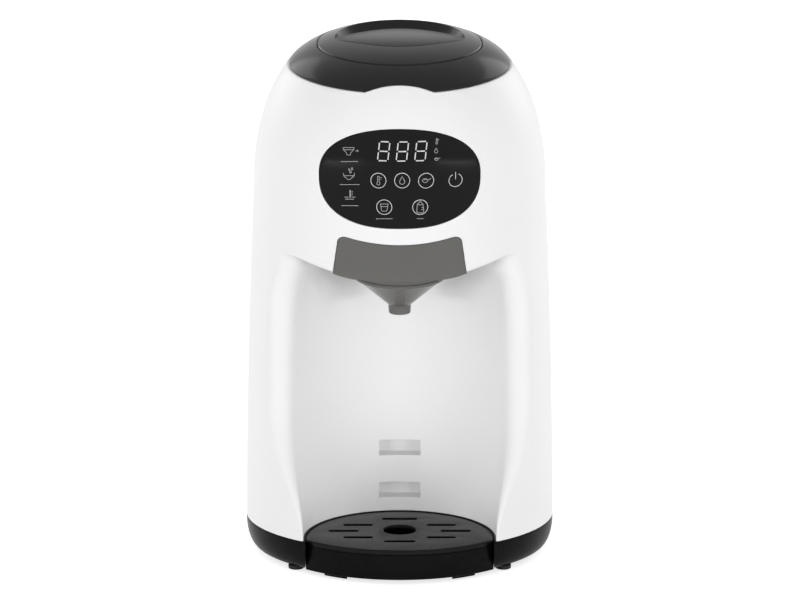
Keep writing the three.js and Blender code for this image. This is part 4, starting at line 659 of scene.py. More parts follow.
def bayPoint(z, inset, column):  # x, y and where the body's front would be without the bay
    kind, share = bayColumns[column]
    if kind == "seam":
        return rearHalfWidth(body["seamY"], z, inset), body["seamY"], body["seamY"]
    half, front, rear, power = bodyPlan(z, inset)
    radius, edge, low, centreX, centreY, start, towards, bayStart = bayEdge(z, inset)
    stretch = bayStretch(z)
    if kind == "side":
        angle = mix(math.pi / 2, low, share)
        y = -front * math.cos(angle)
        return half * math.sin(angle), y, y
    if kind == "edge":
        angle = mix(start, towards, share)
        x, y = stretch * (centreX + edge * math.cos(angle)), centreY + edge * math.sin(angle)
        return x, y, frontY(x, z, inset)
    angle = mix(bayStart, math.pi / 2, share)
    x = stretch * (radius if angle < 0 else radius * math.cos(angle))
    y = bay["centreY"] + radius * (math.tan(angle) if angle < 0 else math.sin(angle))
    return (x if share < 1 else 0.0), y, frontY(x, z, inset)


def frontGrid(inset):
    ceilingRound = bay["ceilingRadius"] + inset
    lipRound = max(bay["lipRadius"] - inset, bay["smallest"])
    half = []
    for column in range(len(bayColumns)):
        guideX = bayPoint(bay["headBottom"], inset, column)[0]
        arch = min(guideX, bay["archReach"]) / bay["archReach"]
        lip = bay["headBottom"] + inset + bay["archRise"] * arch ** 2
        line = []
        for share in steps(bay["wallRows"]):
            z = mix(body["bottom"] + gap, lip - ceilingRound, share)
            line.append((*bayPoint(z, inset, column)[:2], z))
        for still, up in quarter(bay["roundRows"])[1:]:
            z = lip - ceilingRound * still
            x, y, front = bayPoint(z, inset, column)
            line.append((x, y - min(ceilingRound, bay["turnShare"] * (y - front)) * up, z))
        edgeX, edgeY, edgeFront = bayPoint(lip, inset, column)
        lipTurn = min(lipRound, bay["turnShare"] * (edgeY - edgeFront))
        startX, startY = line[-1][:2]
        for share in steps(bay["ceilingRows"])[1:-1]:
            line.append((mix(startX, edgeX, share), mix(startY, edgeFront + lipTurn, share), lip))
        line += [(edgeX, edgeFront + lipTurn * still, lip + lipRound * up)
            for still, up in quarter(bay["roundRows"])]
        widthShare = edgeX / bodyPlan(lip, inset)[0]
        for share in steps(bay["headRows"])[1:]:
            z = mix(lip + lipRound, body["top"], share)
            x = widthShare * bodyPlan(z, inset)[0]
            seam = (rearHalfWidth(body["seamY"], z, inset), body["seamY"], z)
            line.append((x, frontY(x, z, inset), z) if column else seam)
        half.append(line)
    return [[(-x, y, z) for x, y, z in line] for line in half] + half[-2::-1]


# flush pieces in the head: touch panel and the plate of the funnel drawer
panel = {
    "halfWidth": 52.2, "middleZ": 274, "top": 306.3, "bottom": 240.7, "upperPower": 2.18, "lowerPower": 2.6,
    "depth": 2, "columns": 180,
}
plate = {
    "bottomHalf": 43.5, "topHalf": 40.4, "middleBottom": 204.6, "endBottom": 207.7, "bottomPower": 4.5,
    "middleTop": 229.3, "endTop": 234.6, "corner": 6.2, "wayTop": 212.9, "depth": 3, "columns": 40,
    "middleZ": 218, "edge": 0.6,
}
pocket = {"halfWidth": 13.7, "height": 10.5, "depth": 10, "wall": 1.6, "levels": (37.8, 66.4), "corner": 0.9}
drawer = {
    "halfWidth": 42, "rearY": 2, "floorZ": 208.3, "floor": 2.5, "side": 2.3, "wingZ": 215.5, "wing": 2,
    "wingWidth": 3.2, "play": 0.6,
}
tongue = {
    "halfWidth": 22.5, "height": 4.9, "thickness": 2.6, "sink": 1, "ring": 72.05, "columns": 48, "rows": 8,
}
frontCut = (-94, -44)


def panelOutline(grow):
    outline = []
    for c, s in circle(0, 0, 1, panel["columns"]):
        power = 2 / (panel["upperPower"] if s > 0 else panel["lowerPower"])
        reach = panel["top"] - panel["middleZ"] if s > 0 else panel["middleZ"] - panel["bottom"]
        outline.append(((panel["halfWidth"] + grow) * bent(c, power),
            panel["middleZ"] + (reach + grow) * bent(s, power)))
    return outline


def plateOutline(grow):
    bottom, top = [], []
    for share in [math.sin(math.pi / 2 * (2 * step - 1)) for step in steps(plate["columns"])]:
        low = mix(plate["middleBottom"], plate["endBottom"], abs(share) ** plate["bottomPower"])
        bottom.append((share * (plate["bottomHalf"] + grow), low - grow))
        arch = mix(plate["middleTop"], plate["endTop"], share ** 2)
        beyond = max(0.0, abs(share * plate["topHalf"]) - (plate["topHalf"] - plate["corner"]))
        high = arch - plate["corner"] + math.sqrt(max(0.0, plate["corner"] ** 2 - beyond ** 2))
        top.append((share * (plate["topHalf"] + grow), high + grow))
    return bottom + top[::-1]


def tongueBlock(name, grow, outerRadius=None):  # without a radius its face goes on from the face of the shell
    low = body["top"] - tongue["sink"] - grow
    grids = []
    for radius in (outerRadius, tongue["ring"] - tongue["thickness"] - grow):
        grid = []
        for share in steps(tongue["columns"]):
            spot = 2 * share - 1
            x = spot * (tongue["halfWidth"] + grow)
            high = max(low + 0.3, body["top"] + (tongue["height"] + grow) * (1 - spot ** 2))
            levels = [mix(low, high, rise) for rise in steps(tongue["rows"])]
            grid.append([(x, -math.sqrt(radius ** 2 - x ** 2) if radius else frontY(x, z), z)
                for z in levels])
        grids.append(grid)
    return wallPiece(name, *grids)


def buildFrontShell():
    shell = bevel(wallPiece("frontShell", frontGrid(0.0), frontGrid(body["wall"])), body["edge"])
    half, rise, wall = pocket["halfWidth"], pocket["height"] / 2, pocket["wall"]
    rear = bayBack + pocket["depth"]
    housings, hollows = [], []
    for z in pocket["levels"]:
        housings.append(boxPiece("housing", -half - wall, half + wall, bayBack + 1.2, rear + wall,
            z - rise - wall, z + rise + wall, 1.5, 0.3, True))
        hollows.append(boxPiece("hollow", -half, half, bayBack - 6, rear, z - rise, z + rise,
            pocket["corner"], 0.3, True))
    carve(shell, "UNION", *housings, tongueBlock("tongue", 0))
    panelWay = slabPiece("panelWay", panelOutline, *frontCut, 0, offset=gap, alongY=True)
    plateWay = slabPiece("plateWay", plateOutline, *frontCut, 0, offset=gap, alongY=True)
    wayHalf, wayRear = drawer["halfWidth"] + drawer["play"], drawer["rearY"] + drawer["play"]
    drawerWay = boxPiece("drawerWay", -wayHalf, wayHalf, frontCut[0], wayRear, bay["headBottom"] - gap,
        plate["wayTop"], 0.3, 0)
    carve(shell, "DIFFERENCE", panelWay, plateWay, drawerWay, *hollows)
    finishPiece(shell, "machine", "white_shell", "front_shell")


buildFrontShell()
print("stage: front shell")

rearShape = {"columns": 110, "rows": 90}


def rearGrid(inset):
    seam = body["seamY"] + gap
    grid = []
    for columnShare in steps(rearShape["columns"]):
        line = []
        for rowShare in steps(rearShape["rows"]):
            z = mix(body["bottom"] + gap, body["top"], rowShare)
            half, front, rear, power = bodyPlan(z, inset)
            if columnShare in (0.0, 1.0):
                line.append(((-1 if columnShare else 1) * rearHalfWidth(seam, z, inset), seam, z))
                continue
            start = math.asin((seam / rear) ** (power / 2))
            angle = mix(start, math.pi - start, columnShare)
            line.append((half * bent(math.cos(angle), 2 / power), rear * math.sin(angle) ** (2 / power), z))
        grid.append(line)
    return grid


rearShell = bevel(wallPiece("rearShell", rearGrid(0.0), rearGrid(body["wall"])), body["edge"])
finishPiece(rearShell, "machine", "white_shell", "rear_shell")
print("stage: rear shell")

plateRings = 26


def frontPlate(name, outline, middleZ, depth, edge):
    # a curved plate flush with the front of the head, with a softened rim
    reach = max(math.hypot(x, z - middleZ) for x, z in outline)
    levels = [(0.02, 0.0)] + [(share, 0.0) for share in steps(plateRings)[1:-1]]
    levels += [(1 - edge * still / reach, edge * up) for still, up in quarter(3)]
    front, back = [], []
    for share, sink in levels:
        ring = [(mix(0, x, share), mix(middleZ, z, share)) for x, z in outline]
        front.append([(x, frontY(x, z) + sink, z) for x, z in ring])
        if sink == 0.0:
            back.append([(x, frontY(x, z, depth), z) for x, z in ring])
    back.append([(x, frontY(x, z, depth), z) for x, z in outline])
    return loftPiece(name, front + back[::-1], 40)


displayPanel = frontPlate("displayPanel", panelOutline(0), panel["middleZ"], panel["depth"], body["edge"])
finishPiece(displayPanel, "machine", "touch_panel", "display_panel")
print("stage: panel")

# black base with the recess of the tray; a platform behind it carries the tank
base = {
    "bottom": 3, "wall": 3, "floor": 2.5, "tuck": 9, "tuckPower": 2.2, "platformHalf": 84,
    "platformRear": 136, "dockFront": 79, "recessRadius": 61.6, "recessWall": 2.6, "cornerPower": 2.8,
    "ringRows": 14, "slotBottom": 4.2, "slotTop": 14.7,
    "screws": ((-82, -12), (82, -12), (-70, 52), (70, 52)), "bossRadius": 5, "bossBottom": 4.25,
    "screwHole": 3.2, "screwSeat": 6.7, "threadHole": 1.8, "threadTop": 30, "ventRows": 7, "ventPitch": 5.5,
    "ventHalf": 13, "ventWidth": 2.2, "ventX": 36, "ventY": 84, "ventZ": 4,
}
cutHeight = 8  # of slots that are cut right through a floor
hook = {"halfWidth": 13.2, "height": 6, "z": 9.2}
inlet = {
    "halfWidth": 10, "bottom": 10.5, "top": 21.5, "rear": 135.2, "depth": 13, "rim": 2.2, "socket": 9,
    "pinRadius": 1.2, "pinX": 4, "pinLength": 6,
}


def rearRing(half, startY, rearY, power, count=72):
    return [(half * bent(c, 2 / power), startY + (rearY - startY) * s ** (2 / power))
        for c, s in arc(0, 0, 1, 0, 180, count)]


def tuckAt(share):
    return base["tuck"] * (1 - (1 - (1 - share) ** base["tuckPower"]) ** (1 / base["tuckPower"]))


def baseBlocks(inset, low, high, rows):
    levels = []
    for index in range(rows + 1):
        share = 1 - math.cos(math.pi / 2 * index / rows)
        levels.append((mix(low, body["bottom"], share), inset + tuckAt(share)))
    if high > body["bottom"]:
        levels.append((high, inset))
    rings = []
    for z, edge in levels:
        half = base["platformHalf"] - edge
        outline = [(-half, body["rearDepth"] / 2), (half, body["rearDepth"] / 2)]
        outline += rearRing(half, base["dockFront"], base["platformRear"] - edge, base["cornerPower"])
        rings.append([(x, y, z) for x, y in outline])
    bodyRings = [[(x, y, z) for x, y in bodyRing(body["bottom"], edge)] for z, edge in levels]
    return loftPiece("basePan", bodyRings, 40), loftPiece("platform", rings, 40)


def recessPiece(radius, high):
    outline = arc(0, bay["centreY"], radius, 0, 180, 90)
    return prism("recess", outline + [(-radius, bay["centreY"] - 88), (radius, bay["centreY"] - 88)], 0, high)


def buildBase():
    pan, platform = baseBlocks(0, base["bottom"], body["bottom"], base["ringRows"])
    hollow, hollowRear = baseBlocks(base["wall"], base["bottom"] + base["floor"], body["bottom"] + 6, 8)
    carve(hollow, "UNION", hollowRear)
    carve(hollow, "DIFFERENCE", recessPiece(base["recessRadius"] + base["recessWall"], 50))
    carve(pan, "UNION", platform)
    bevel(pan, 0.5)
    carve(pan, "DIFFERENCE", hollow)
    half, wall = pocket["halfWidth"], pocket["wall"]
    slotRear = bayBack + pocket["depth"] - base["recessWall"] - wall
    housing = boxPiece("slotHousing", -half - wall, half + wall, bayBack - base["recessWall"],
        slotRear + wall, base["bottom"] + base["floor"] / 2, base["slotTop"] + wall, 1, 0.3)
    bosses = [rod("boss", base["bossRadius"], base["bossBottom"], body["bottom"], spot)
        for spot in base["screws"]]
    carve(pan, "UNION", housing, *bosses)
    slot = boxPiece("slot", -half, half, bayBack - 6, slotRear, base["slotBottom"], base["slotTop"], 0.8, 0.2)
    inletWay = boxPiece("inletWay", -inlet["halfWidth"] - gap, inlet["halfWidth"] + gap,
        inlet["rear"] - inlet["depth"], inlet["rear"] + 6, inlet["bottom"] - gap, inlet["top"] + gap, 1, 0,
        True)
    holeProfile = [(0, 0), (base["screwHole"], 0), (base["screwHole"], base["screwSeat"]),
        (base["threadHole"], base["screwSeat"]), (base["threadHole"], base["threadTop"]),
        (0, base["threadTop"])]
    holes = [turnedPiece("hole", holeProfile, spot, 40) for spot in base["screws"]]
    carve(pan, "DIFFERENCE", recessPiece(base["recessRadius"], 40), slot, inletWay, *holes)
    # cooling slots through the floor under the platform
    rows = [(index - (base["ventRows"] - 1) / 2) * base["ventPitch"] for index in range(base["ventRows"])]
    strokes = [[place(row + side * base["ventX"], base["ventY"] + end * base["ventHalf"], base["ventZ"])
        for end in (-1, 1)] for side in (-1, 1) for row in rows]
    carve(pan, "DIFFERENCE", bars("vents", strokes, base["ventWidth"], cutHeight))
    finishPiece(pan, "machine", "black_base", "base_pan")


def buildInlet():
    half, rim, pinFoot = inlet["halfWidth"], inlet["rim"], inlet["rear"] - inlet["socket"]
    pinEnd = pinFoot + inlet["pinLength"]
    block = boxPiece("powerInlet", -half, half, inlet["rear"] - inlet["depth"], inlet["rear"],
        inlet["bottom"], inlet["top"], 1.6, 0.4, True)
    outline = boxOutline(-half + rim, half - rim, inlet["bottom"] + rim, inlet["top"] - rim, 3.2, 8)
    mouth = slabPiece("mouth", lambda inset: outline, pinFoot, inlet["rear"] + 6, 0, alongY=True)
    carve(block, "DIFFERENCE", mouth)
    middleZ = (inlet["bottom"] + inlet["top"]) / 2
    pins = []
    for side in (-1, 1):
        rings = [[(u, y, v) for u, v in circle(side * inlet["pinX"], middleZ, inlet["pinRadius"] * scale, 24)]
            for y, scale in ((pinFoot - 1, 1), (pinEnd - 0.6, 1), (pinEnd - 0.2, 0.8), (pinEnd, 0.4))]
        pins.append(loftPiece("pin", rings, 40))
    carve(block, "UNION", *pins)
    finishPiece(block, "machine", "black_plastic", "power_inlet")


buildBase()
buildInlet()
print("stage: base and inlet")

# feet and screws
foot = {
    "radius": 5.1, "edge": 0.8, "height": 2.7, "spots": ((-67.5, -50), (67.5, -50), (-58, 108), (58, 108)),
}
screwHead = {
    "radius": 2.8, "height": 2.4, "z": 4, "edge": 0.5, "crossWidth": 0.8, "crossHalf": 1.9, "crossDepth": 1.2,
}

feet = discs("rubberFeet", [(x, y, 0) for x, y in foot["spots"]], foot["radius"], foot["height"],
    foot["edge"], "rubber_black")
finishPiece(feet, "machine", "rubber_black", "foot_front_left", "foot_front_right", "foot_rear_left",
    "foot_rear_right")
screws = discs("baseScrews", [(x, y, screwHead["z"]) for x, y in base["screws"]], screwHead["radius"],
    screwHead["height"], screwHead["edge"], "steel")
for alongU, alongV in ((screwHead["crossHalf"], 0), (0, screwHead["crossHalf"])):
    strokes = [[place(x + end * alongU, y + end * alongV, screwHead["z"]) for end in (-1, 1)]
        for x, y in base["screws"]]
    carve(screws, "DIFFERENCE", bars("cross", strokes, screwHead["crossWidth"], 2 * screwHead["crossDepth"]))
finishPiece(screws, "machine", "steel", "base_screw_1", "base_screw_2", "base_screw_3", "base_screw_4")
print("stage: feet and screws")

# drip tray and its grate
tray = {
    "radius": 61.2, "frontRadius": 90, "frontCentreY": 2, "wall": 2, "floor": 2, "bottom": 3, "top": 19.7,
    "edge": 0.8, "padInset": 5.5, "padNear": 34.2, "padFar": 49, "padRear": -58,
}
grate = {
    "top": 23.2, "plate": 2.6, "lip": 2, "lipWall": 1.6, "holeRadius": 10.4, "slotWidth": 4.4,
    "slotRound": 2.2, "edge": 1.3,
    "slots": ((0, -16.2, 11.7), (0, -66.8, 10.4), (-27.1, -29.9, 9.8), (27.1, -29.9, 9.8),
        (-36.5, -43.3, 10.1), (36.5, -43.3, 10.1), (-27.1, -57.7, 9.8), (27.1, -57.7, 9.8)),
}
dripY = -40.4


def trayOutline(inset):
    radius, front = tray["radius"] - inset, tray["frontRadius"] - inset
    corner = math.degrees(math.asin(radius / front))
    outline = arc(0, bay["centreY"], radius, 0, 180, 96)
    return outline + arc(0, tray["frontCentreY"], front, -90 - corner, -90 + corner, 60)


def buildTray():
    floorTop = tray["bottom"] + tray["floor"]
    pan = slabPiece("dripTray", trayOutline, tray["bottom"], tray["top"], tray["edge"], 0.3)
    inside = slabPiece("inside", trayOutline, floorTop, 40, 1.2, 0, tray["wall"])
    slotRear = bayBack + pocket["depth"] - base["recessWall"] - pocket["wall"]
    bar = boxPiece("hookBar", -hook["halfWidth"], hook["halfWidth"],
        bayBack - base["recessWall"] - tray["wall"], slotRear - 1, hook["z"] - hook["height"] / 2,
        hook["z"] + hook["height"] / 2, 0.8, 0.5)
    carve(pan, "DIFFERENCE", inside)
    carve(pan, "UNION", bar)
    for side in (-1, 1):
        pad = slabPiece("pad", trayOutline, 0, floorTop - tray["floor"] / 2, 0.4, 0, tray["padInset"])
        near, far = sorted((side * tray["padNear"], side * tray["padFar"]))
        carve(pad, "INTERSECT", boxPiece("padWay", near, far, -100, tray["padRear"], -5, 20, 0.3, 0))
        carve(pan, "UNION", pad)
    finishPiece(pan, "tray", "black_base", "drip_tray")


def buildGrate():
    low, top = grate["top"] - grate["plate"], grate["top"]
    radius, turn = grate["holeRadius"], grate["slotRound"]
    lipOuter = tray["wall"] + gap
    plateBody = slabPiece("trayGrate", trayOutline, tray["top"] + gap, top, 0.3, grate["edge"])
    lip = slabPiece("lip", trayOutline, tray["top"] - grate["lip"], low + 1, 0.3, 0, lipOuter)
    carve(plateBody, "UNION", lip)
    under = slabPiece("under", trayOutline, 0, low, 0, offset=lipOuter + grate["lipWall"])
    carve(plateBody, "DIFFERENCE", under)
    hole = turnedPiece("hole", [(0, 0), (radius, 0), (radius, top - 1.2), (radius + 0.25, top - 0.5),
        (radius + 0.9, top), (radius + 1.6, top + 0.6), (0, top + 0.6)], (0, dripY), 96)
    middle = (low + top) / 2
    ends = [[(x + side * (half - turn), y, middle) for side in (-1, 1)] for x, y, half in grate["slots"]]
    slots = bars("slots", [[place(*end) for end in pair] for pair in ends], grate["slotWidth"], cutHeight)
    spots = [(x, y, z - cutHeight / 2) for pair in ends for x, y, z in pair]
    carve(plateBody, "DIFFERENCE", hole, slots, discs("slotEnds", spots, turn, cutHeight, 0.1))
    finishPiece(plateBody, "grate", "dark_lid", "tray_grate", material=materials["grate_black"])


buildTray()
buildGrate()
print("stage: tray and grate")

# lid, cap and finger scoop
lid = {
    "edgeRadius": 72.05, "edgeZ": 328.8, "crown": 20.04, "power": 3.02, "root": 1.233, "seam": 53.6,
    "wall": 2.5, "plateBottom": 332.7, "plate": 2.5, "ribInner": 60, "ribOuter": 62.5, "ribBottom": 326.6,
    "foot": 2.55, "seamGap": 0.4, "seamRound": 0.6, "sides": 192, "rows": 40, "rowEase": 1.6, "capRows": 44,
}
scoop = {
    "radius": 39.5, "middleZ": 344.3, "slope": 0.113, "steepen": 4.45e-5, "flare": 0.45, "flareFrom": 339.5,
    "columns": 180, "rows": 5, "floorRows": 16, "high": 24, "halvings": 40, "round": 0.4, "lineWidth": 0.7,
    # colour and reaches of the painted sheen on the scoop floor
    "lineDepth": 1.2, "lineFrom": 188, "lineTo": 352, "paintedSheen": (0.29, 0.29, 0.29), "paintedSheenFrom": -34,
    "paintedSheenTo": 43, "paintedSheenReach": (41, 42), "floorFrom": (-0.3, -0.05), "floorTo": (0.1, 0.5), "matt": 0.75,
}


def lidTop(radius):
    share = max(0.0, 1 - (radius / lid["edgeRadius"]) ** lid["power"])
    return lid["edgeZ"] + lid["crown"] * share ** (1 / lid["root"])


def buildLid():
    footZ, innerFoot = body["top"] + gap, lid["edgeRadius"] - lid["foot"]
    plateTop, seam = lid["plateBottom"] + lid["plate"], lid["seam"] + lid["seamGap"]
    bottom, ribBottom, edge = lid["plateBottom"], lid["ribBottom"], lid["edgeRadius"]
    profile = [(0, bottom), (lid["ribInner"], bottom), (lid["ribInner"], ribBottom),
        (lid["ribOuter"], ribBottom), (lid["ribOuter"], bottom), (innerFoot - lid["wall"], footZ + 4),
        (innerFoot, footZ), (edge - 0.3, footZ), (edge, footZ + 0.3)]
    for share in steps(lid["rows"]):  # closer together at the edge, where the dome turns down
        radius = mix(lid["edgeRadius"], seam + lid["seamRound"], share ** lid["rowEase"])
        profile.append((radius, lidTop(radius)))
    profile += [(seam, lidTop(seam) - lid["seamRound"]), (seam, plateTop), (0, plateTop)]
    piece = turnedPiece("lid", profile, sides=lid["sides"])
    carve(piece, "DIFFERENCE", tongueBlock("notch", gap, 78))
    finishPiece(piece, "lid", "dark_lid", "lid")


def capMaterial():  # the lid's plastic, with a matt floor in the scoop that carries a painted sheen, lighter at the rear and fading towards the front
    material, add, calc = startMaterial("cap_lid")
    feeds = surface(add, finishes["dark_lid"])
    parts = add("ShaderNodeSeparateXYZ", {0: add("ShaderNodeTexCoord").outputs["Object"]}).outputs

    def fade(value, low, high, first=0.0, last=1.0):
        return ranged(add, value, low * mm, high * mm, first, last, interpolation_type="SMOOTHSTEP")
    depth = calc("SUBTRACT", parts["Y"], axisShift * mm)
    across = calc("MULTIPLY", parts["X"], parts["X"])
    fall = calc("MULTIPLY_ADD", across, scoop["steepen"] / mm ** 2, scoop["slope"])
    above = calc("SUBTRACT", calc("MULTIPLY_ADD", depth, fall, parts["Z"]), scoop["middleZ"] * mm)
    reach = calc("SQRT", calc("MULTIPLY_ADD", depth, depth, across))
    floor = calc("MULTIPLY", fade(above, *scoop["floorFrom"]), fade(above, *scoop["floorTo"], 1.0, 0.0))
    floor = calc("MULTIPLY", floor, fade(reach, *scoop["paintedSheenReach"], 1.0, 0.0))
    # painted sheen: the scoop floor is painted lighter towards the rear
    paintedSheen = calc("MULTIPLY", floor, fade(depth, scoop["paintedSheenFrom"], scoop["paintedSheenTo"]))
    feeds["Base Color"] = tint(add, paintedSheen, feeds["Base Color"], (*scoop["paintedSheen"], 1))
    feeds["Roughness"] = add("ShaderNodeMix", {0: floor, 2: feeds["Roughness"], 3: scoop["matt"]}).outputs[0]
    return endMaterial(material, add, feeds)


def scoopFloor(x, y):  # it falls to the rear, more steeply at the sides
    return scoop["middleZ"] - y * (scoop["slope"] + scoop["steepen"] * x ** 2)


def bowlRing(share, rise, inset):  # a ring over the floor, at a share of the flared wall's radius
    ring = []
    for c, s in circle(0, 0, 1, scoop["columns"]):
        z = scoopFloor(scoop["radius"] * c, scoop["radius"] * s) + rise
        radius = share * (scoop["radius"] + scoop["flare"] * max(0.0, z - scoop["flareFrom"]) - inset)
        ring.append((radius * c, radius * s, scoopFloor(radius * c, radius * s) + rise))
    return ring


def buildCap():
    low = lid["plateBottom"] + lid["plate"] + gap
    profile = [(0, low), (lid["seam"], low), (lid["seam"], lidTop(lid["seam"]) - lid["seamRound"])]
    for share in steps(lid["capRows"]):
        radius = (lid["seam"] - lid["seamRound"]) * (1 - share)
        profile.append((radius, lidTop(radius)))
    piece = turnedPiece("lidCap", profile, sides=lid["sides"])
    rings = [bowlRing(share, 0, scoop["round"]) for share in steps(scoop["floorRows"])[1:]]
    rings += [bowlRing(1, scoop["round"] * up, scoop["round"] * still)
        for still, up in quarter(scoop["rows"])[1:]]
    rings.append(bowlRing(1, scoop["high"], 0))
    carve(piece, "DIFFERENCE", loftPiece("bowl", rings, 40))
    front = []
    for c, s in arc(0, 0, 1, scoop["lineFrom"], scoop["lineTo"], 120):  # where the floor runs out of the dome
        low, high = 10.0, lid["seam"]
        for turn in range(scoop["halvings"]):
            radius = (low + high) / 2
            above = lidTop(radius) > scoopFloor(radius * c, radius * s)
            low, high = (radius, high) if above else (low, radius)
        if low < scoop["radius"]:
            front.append(place(low * c, low * s, lidTop(low)))
    carve(piece, "DIFFERENCE", bars("groove", [front], scoop["lineWidth"], 2 * scoop["lineDepth"]))
    finishPiece(piece, "lid", "dark_lid", "lid_cap", material=capMaterial())


buildLid()
buildCap()
print("stage: lid and cap")

# funnel drawer with its cone
cone = {
    "spoutBottom": 171.0, "spoutRadius": 7.1, "spoutTop": 176.9, "spoutTopRadius": 7.5, "wall": 1.6,
    "ridgeZ": 195, "ridgeHeight": 2, "ridgeRadius": 29.6, "ridgeStep": 1.2, "collarRadius": 32.8,
    "collarPlay": 0.5, "flangeRadius": 36, "flange": 2, "waist": 0.8, "sides": 144,
}


def holderSlab(name, x0, x1, z0, z1):  # stays behind the plate's curved front
    spots = [mix(x0, x1, share) for share in steps(24)]
    outline = [(x, frontY(x, (z0 + z1) / 2, plate["depth"] / 2)) for x in spots]
    return prism(name, outline + [(x1, drawer["rearY"]), (x0, drawer["rearY"])], z0, z1)


def buildHolder():
    face = frontPlate("funnelHolder", plateOutline(0), plate["middleZ"], plate["depth"], plate["edge"])
    floorZ, floorTop = drawer["floorZ"], drawer["floorZ"] + drawer["floor"]
    wingTop, outer = drawer["wingZ"] + drawer["wing"], drawer["halfWidth"]
    inner = outer - drawer["side"]
    parts = [holderSlab("floor", -outer, outer, floorZ, floorTop)]
    for side in (-1, 1):
        near, far = sorted((side * inner, side * outer))
        parts.append(holderSlab("side", near, far, floorZ, wingTop))
        near, far = sorted((side * (inner - drawer["wingWidth"]), side * outer))
        parts.append(holderSlab("wing", near, far, drawer["wingZ"], wingTop))
    carve(face, "UNION", *parts)
    seat = rod("seat", cone["collarRadius"] + cone["collarPlay"], floorZ - 2, floorTop + 1, (0, dripY), 96)
    carve(face, "DIFFERENCE", seat)
    finishPiece(face, "funnel", "smoky_plastic", "funnel_holder")


def buildCone():
    flangeZ = drawer["floorZ"] + drawer["floor"] + gap
    wall, collar, ridge, ridgeZ = cone["wall"], cone["collarRadius"], cone["ridgeRadius"], cone["ridgeZ"]
    ridgeTop, flangeTop = ridgeZ + cone["ridgeHeight"], flangeZ + cone["flange"]
    profile = rounded([(cone["spoutRadius"], cone["spoutBottom"], 0.5),
        (cone["spoutTopRadius"], cone["spoutTop"], 0.6), (ridge - cone["ridgeStep"], ridgeZ, 0.5),
        (ridge, ridgeZ, 0.5), (ridge, ridgeTop, 0.6), (ridge - cone["waist"], ridgeTop + 0.3, 0.3),
        (collar, drawer["floorZ"], 0.8), (collar, flangeZ, 0.2), (cone["flangeRadius"], flangeZ, 0.4),
        (cone["flangeRadius"], flangeTop, 0.5), (collar - wall, flangeTop, 0.4),
        (collar - wall, drawer["floorZ"], 1.5), (ridge - cone["ridgeStep"] - wall, ridgeZ, 2),
        (cone["spoutTopRadius"] - wall, cone["spoutTop"] + wall / 2, 1),
        (cone["spoutRadius"] - wall, cone["spoutBottom"], 0.5)], arcSteps=5)
    piece = turnedPiece("funnelCone", profile + profile[:1], (0, dripY), cone["sides"], 35)
    finishPiece(piece, "funnel", "smoky_plastic", "funnel_cone")


buildHolder()
buildCone()
print("stage: funnel")

# tank dock, water tank and its lid
dock = {
    "bottom": 23.5, "thickness": 3, "wellY": 106, "wellRadius": 11.5, "wellWall": 1.6, "wellBottom": 8,
    "neckRadius": 9.5, "neckTop": 19.7, "pinRadius": 1.5, "pinTop": 18.7, "pinEdge": 0.4, "portRadius": 5,
    "portInner": 3, "portZ": 13.5, "portReach": 8, "mouthEdge": 0.5,
}
tank = {
    "halfWidth": 82, "frontY": 79.3, "rearY": 133.5, "bottom": 26.8, "top": 236, "power": 2.6, "corner": 8,
    "wall": 2.4, "floor": 2.5, "spigotRadius": 9, "spigotBottom": 17, "spigotWall": 2, "spigotEdge": 0.4,
    "seatHole": 4, "footRound": 2.2, "marks": 9, "markPitch": 20, "markFirst": 48, "markWidth": 0.7,
    "markDepth": 1.6, "markX": 46, "markReach": (15, 9), "markSink": 0.25, "columns": 110,
}
hinge = {
    "y": 137.1, "z": 239, "barrel": 3, "barrelEdge": 0.4, "pin": 1.5, "lugInner": 12, "lugOuter": 22,
    "web": 3, "webDrop": 9, "wayReach": 30,
}
tankCover = {"thickness": 3, "skirt": 3, "skirtWall": 1.8, "tabHalf": 14, "tabReach": 3}
tankSpot = (0, dock["wellY"])


def tankOutline(inset):
    half, radius = tank["halfWidth"] - inset, max(tank["corner"] - inset, 0.4)
    cornerX, cornerY = tank["halfWidth"] - tank["corner"], tank["frontY"] + tank["corner"]
    outline = rearRing(half, cornerY, tank["rearY"] - inset, tank["power"], tank["columns"])
    outline += arc(-cornerX, cornerY, radius, 180, 270, 8)[1:]
    return outline + arc(cornerX, cornerY, radius, 270, 360, 8)[:-1]


def hingeWay():
    return alongX("pinWay", hinge["pin"] + gap, -hinge["wayReach"], hinge["wayReach"], hinge["y"], hinge["z"])


def hingeBarrel(name, x0, x1):
    return alongX(name, hinge["barrel"], x0, x1, hinge["y"], hinge["z"], 48, hinge["barrelEdge"])


def dockOutline(inset):
    return rearRing(base["platformHalf"] - gap - inset, base["dockFront"] + inset,
        base["platformRear"] - gap - inset, base["cornerPower"], tank["columns"])


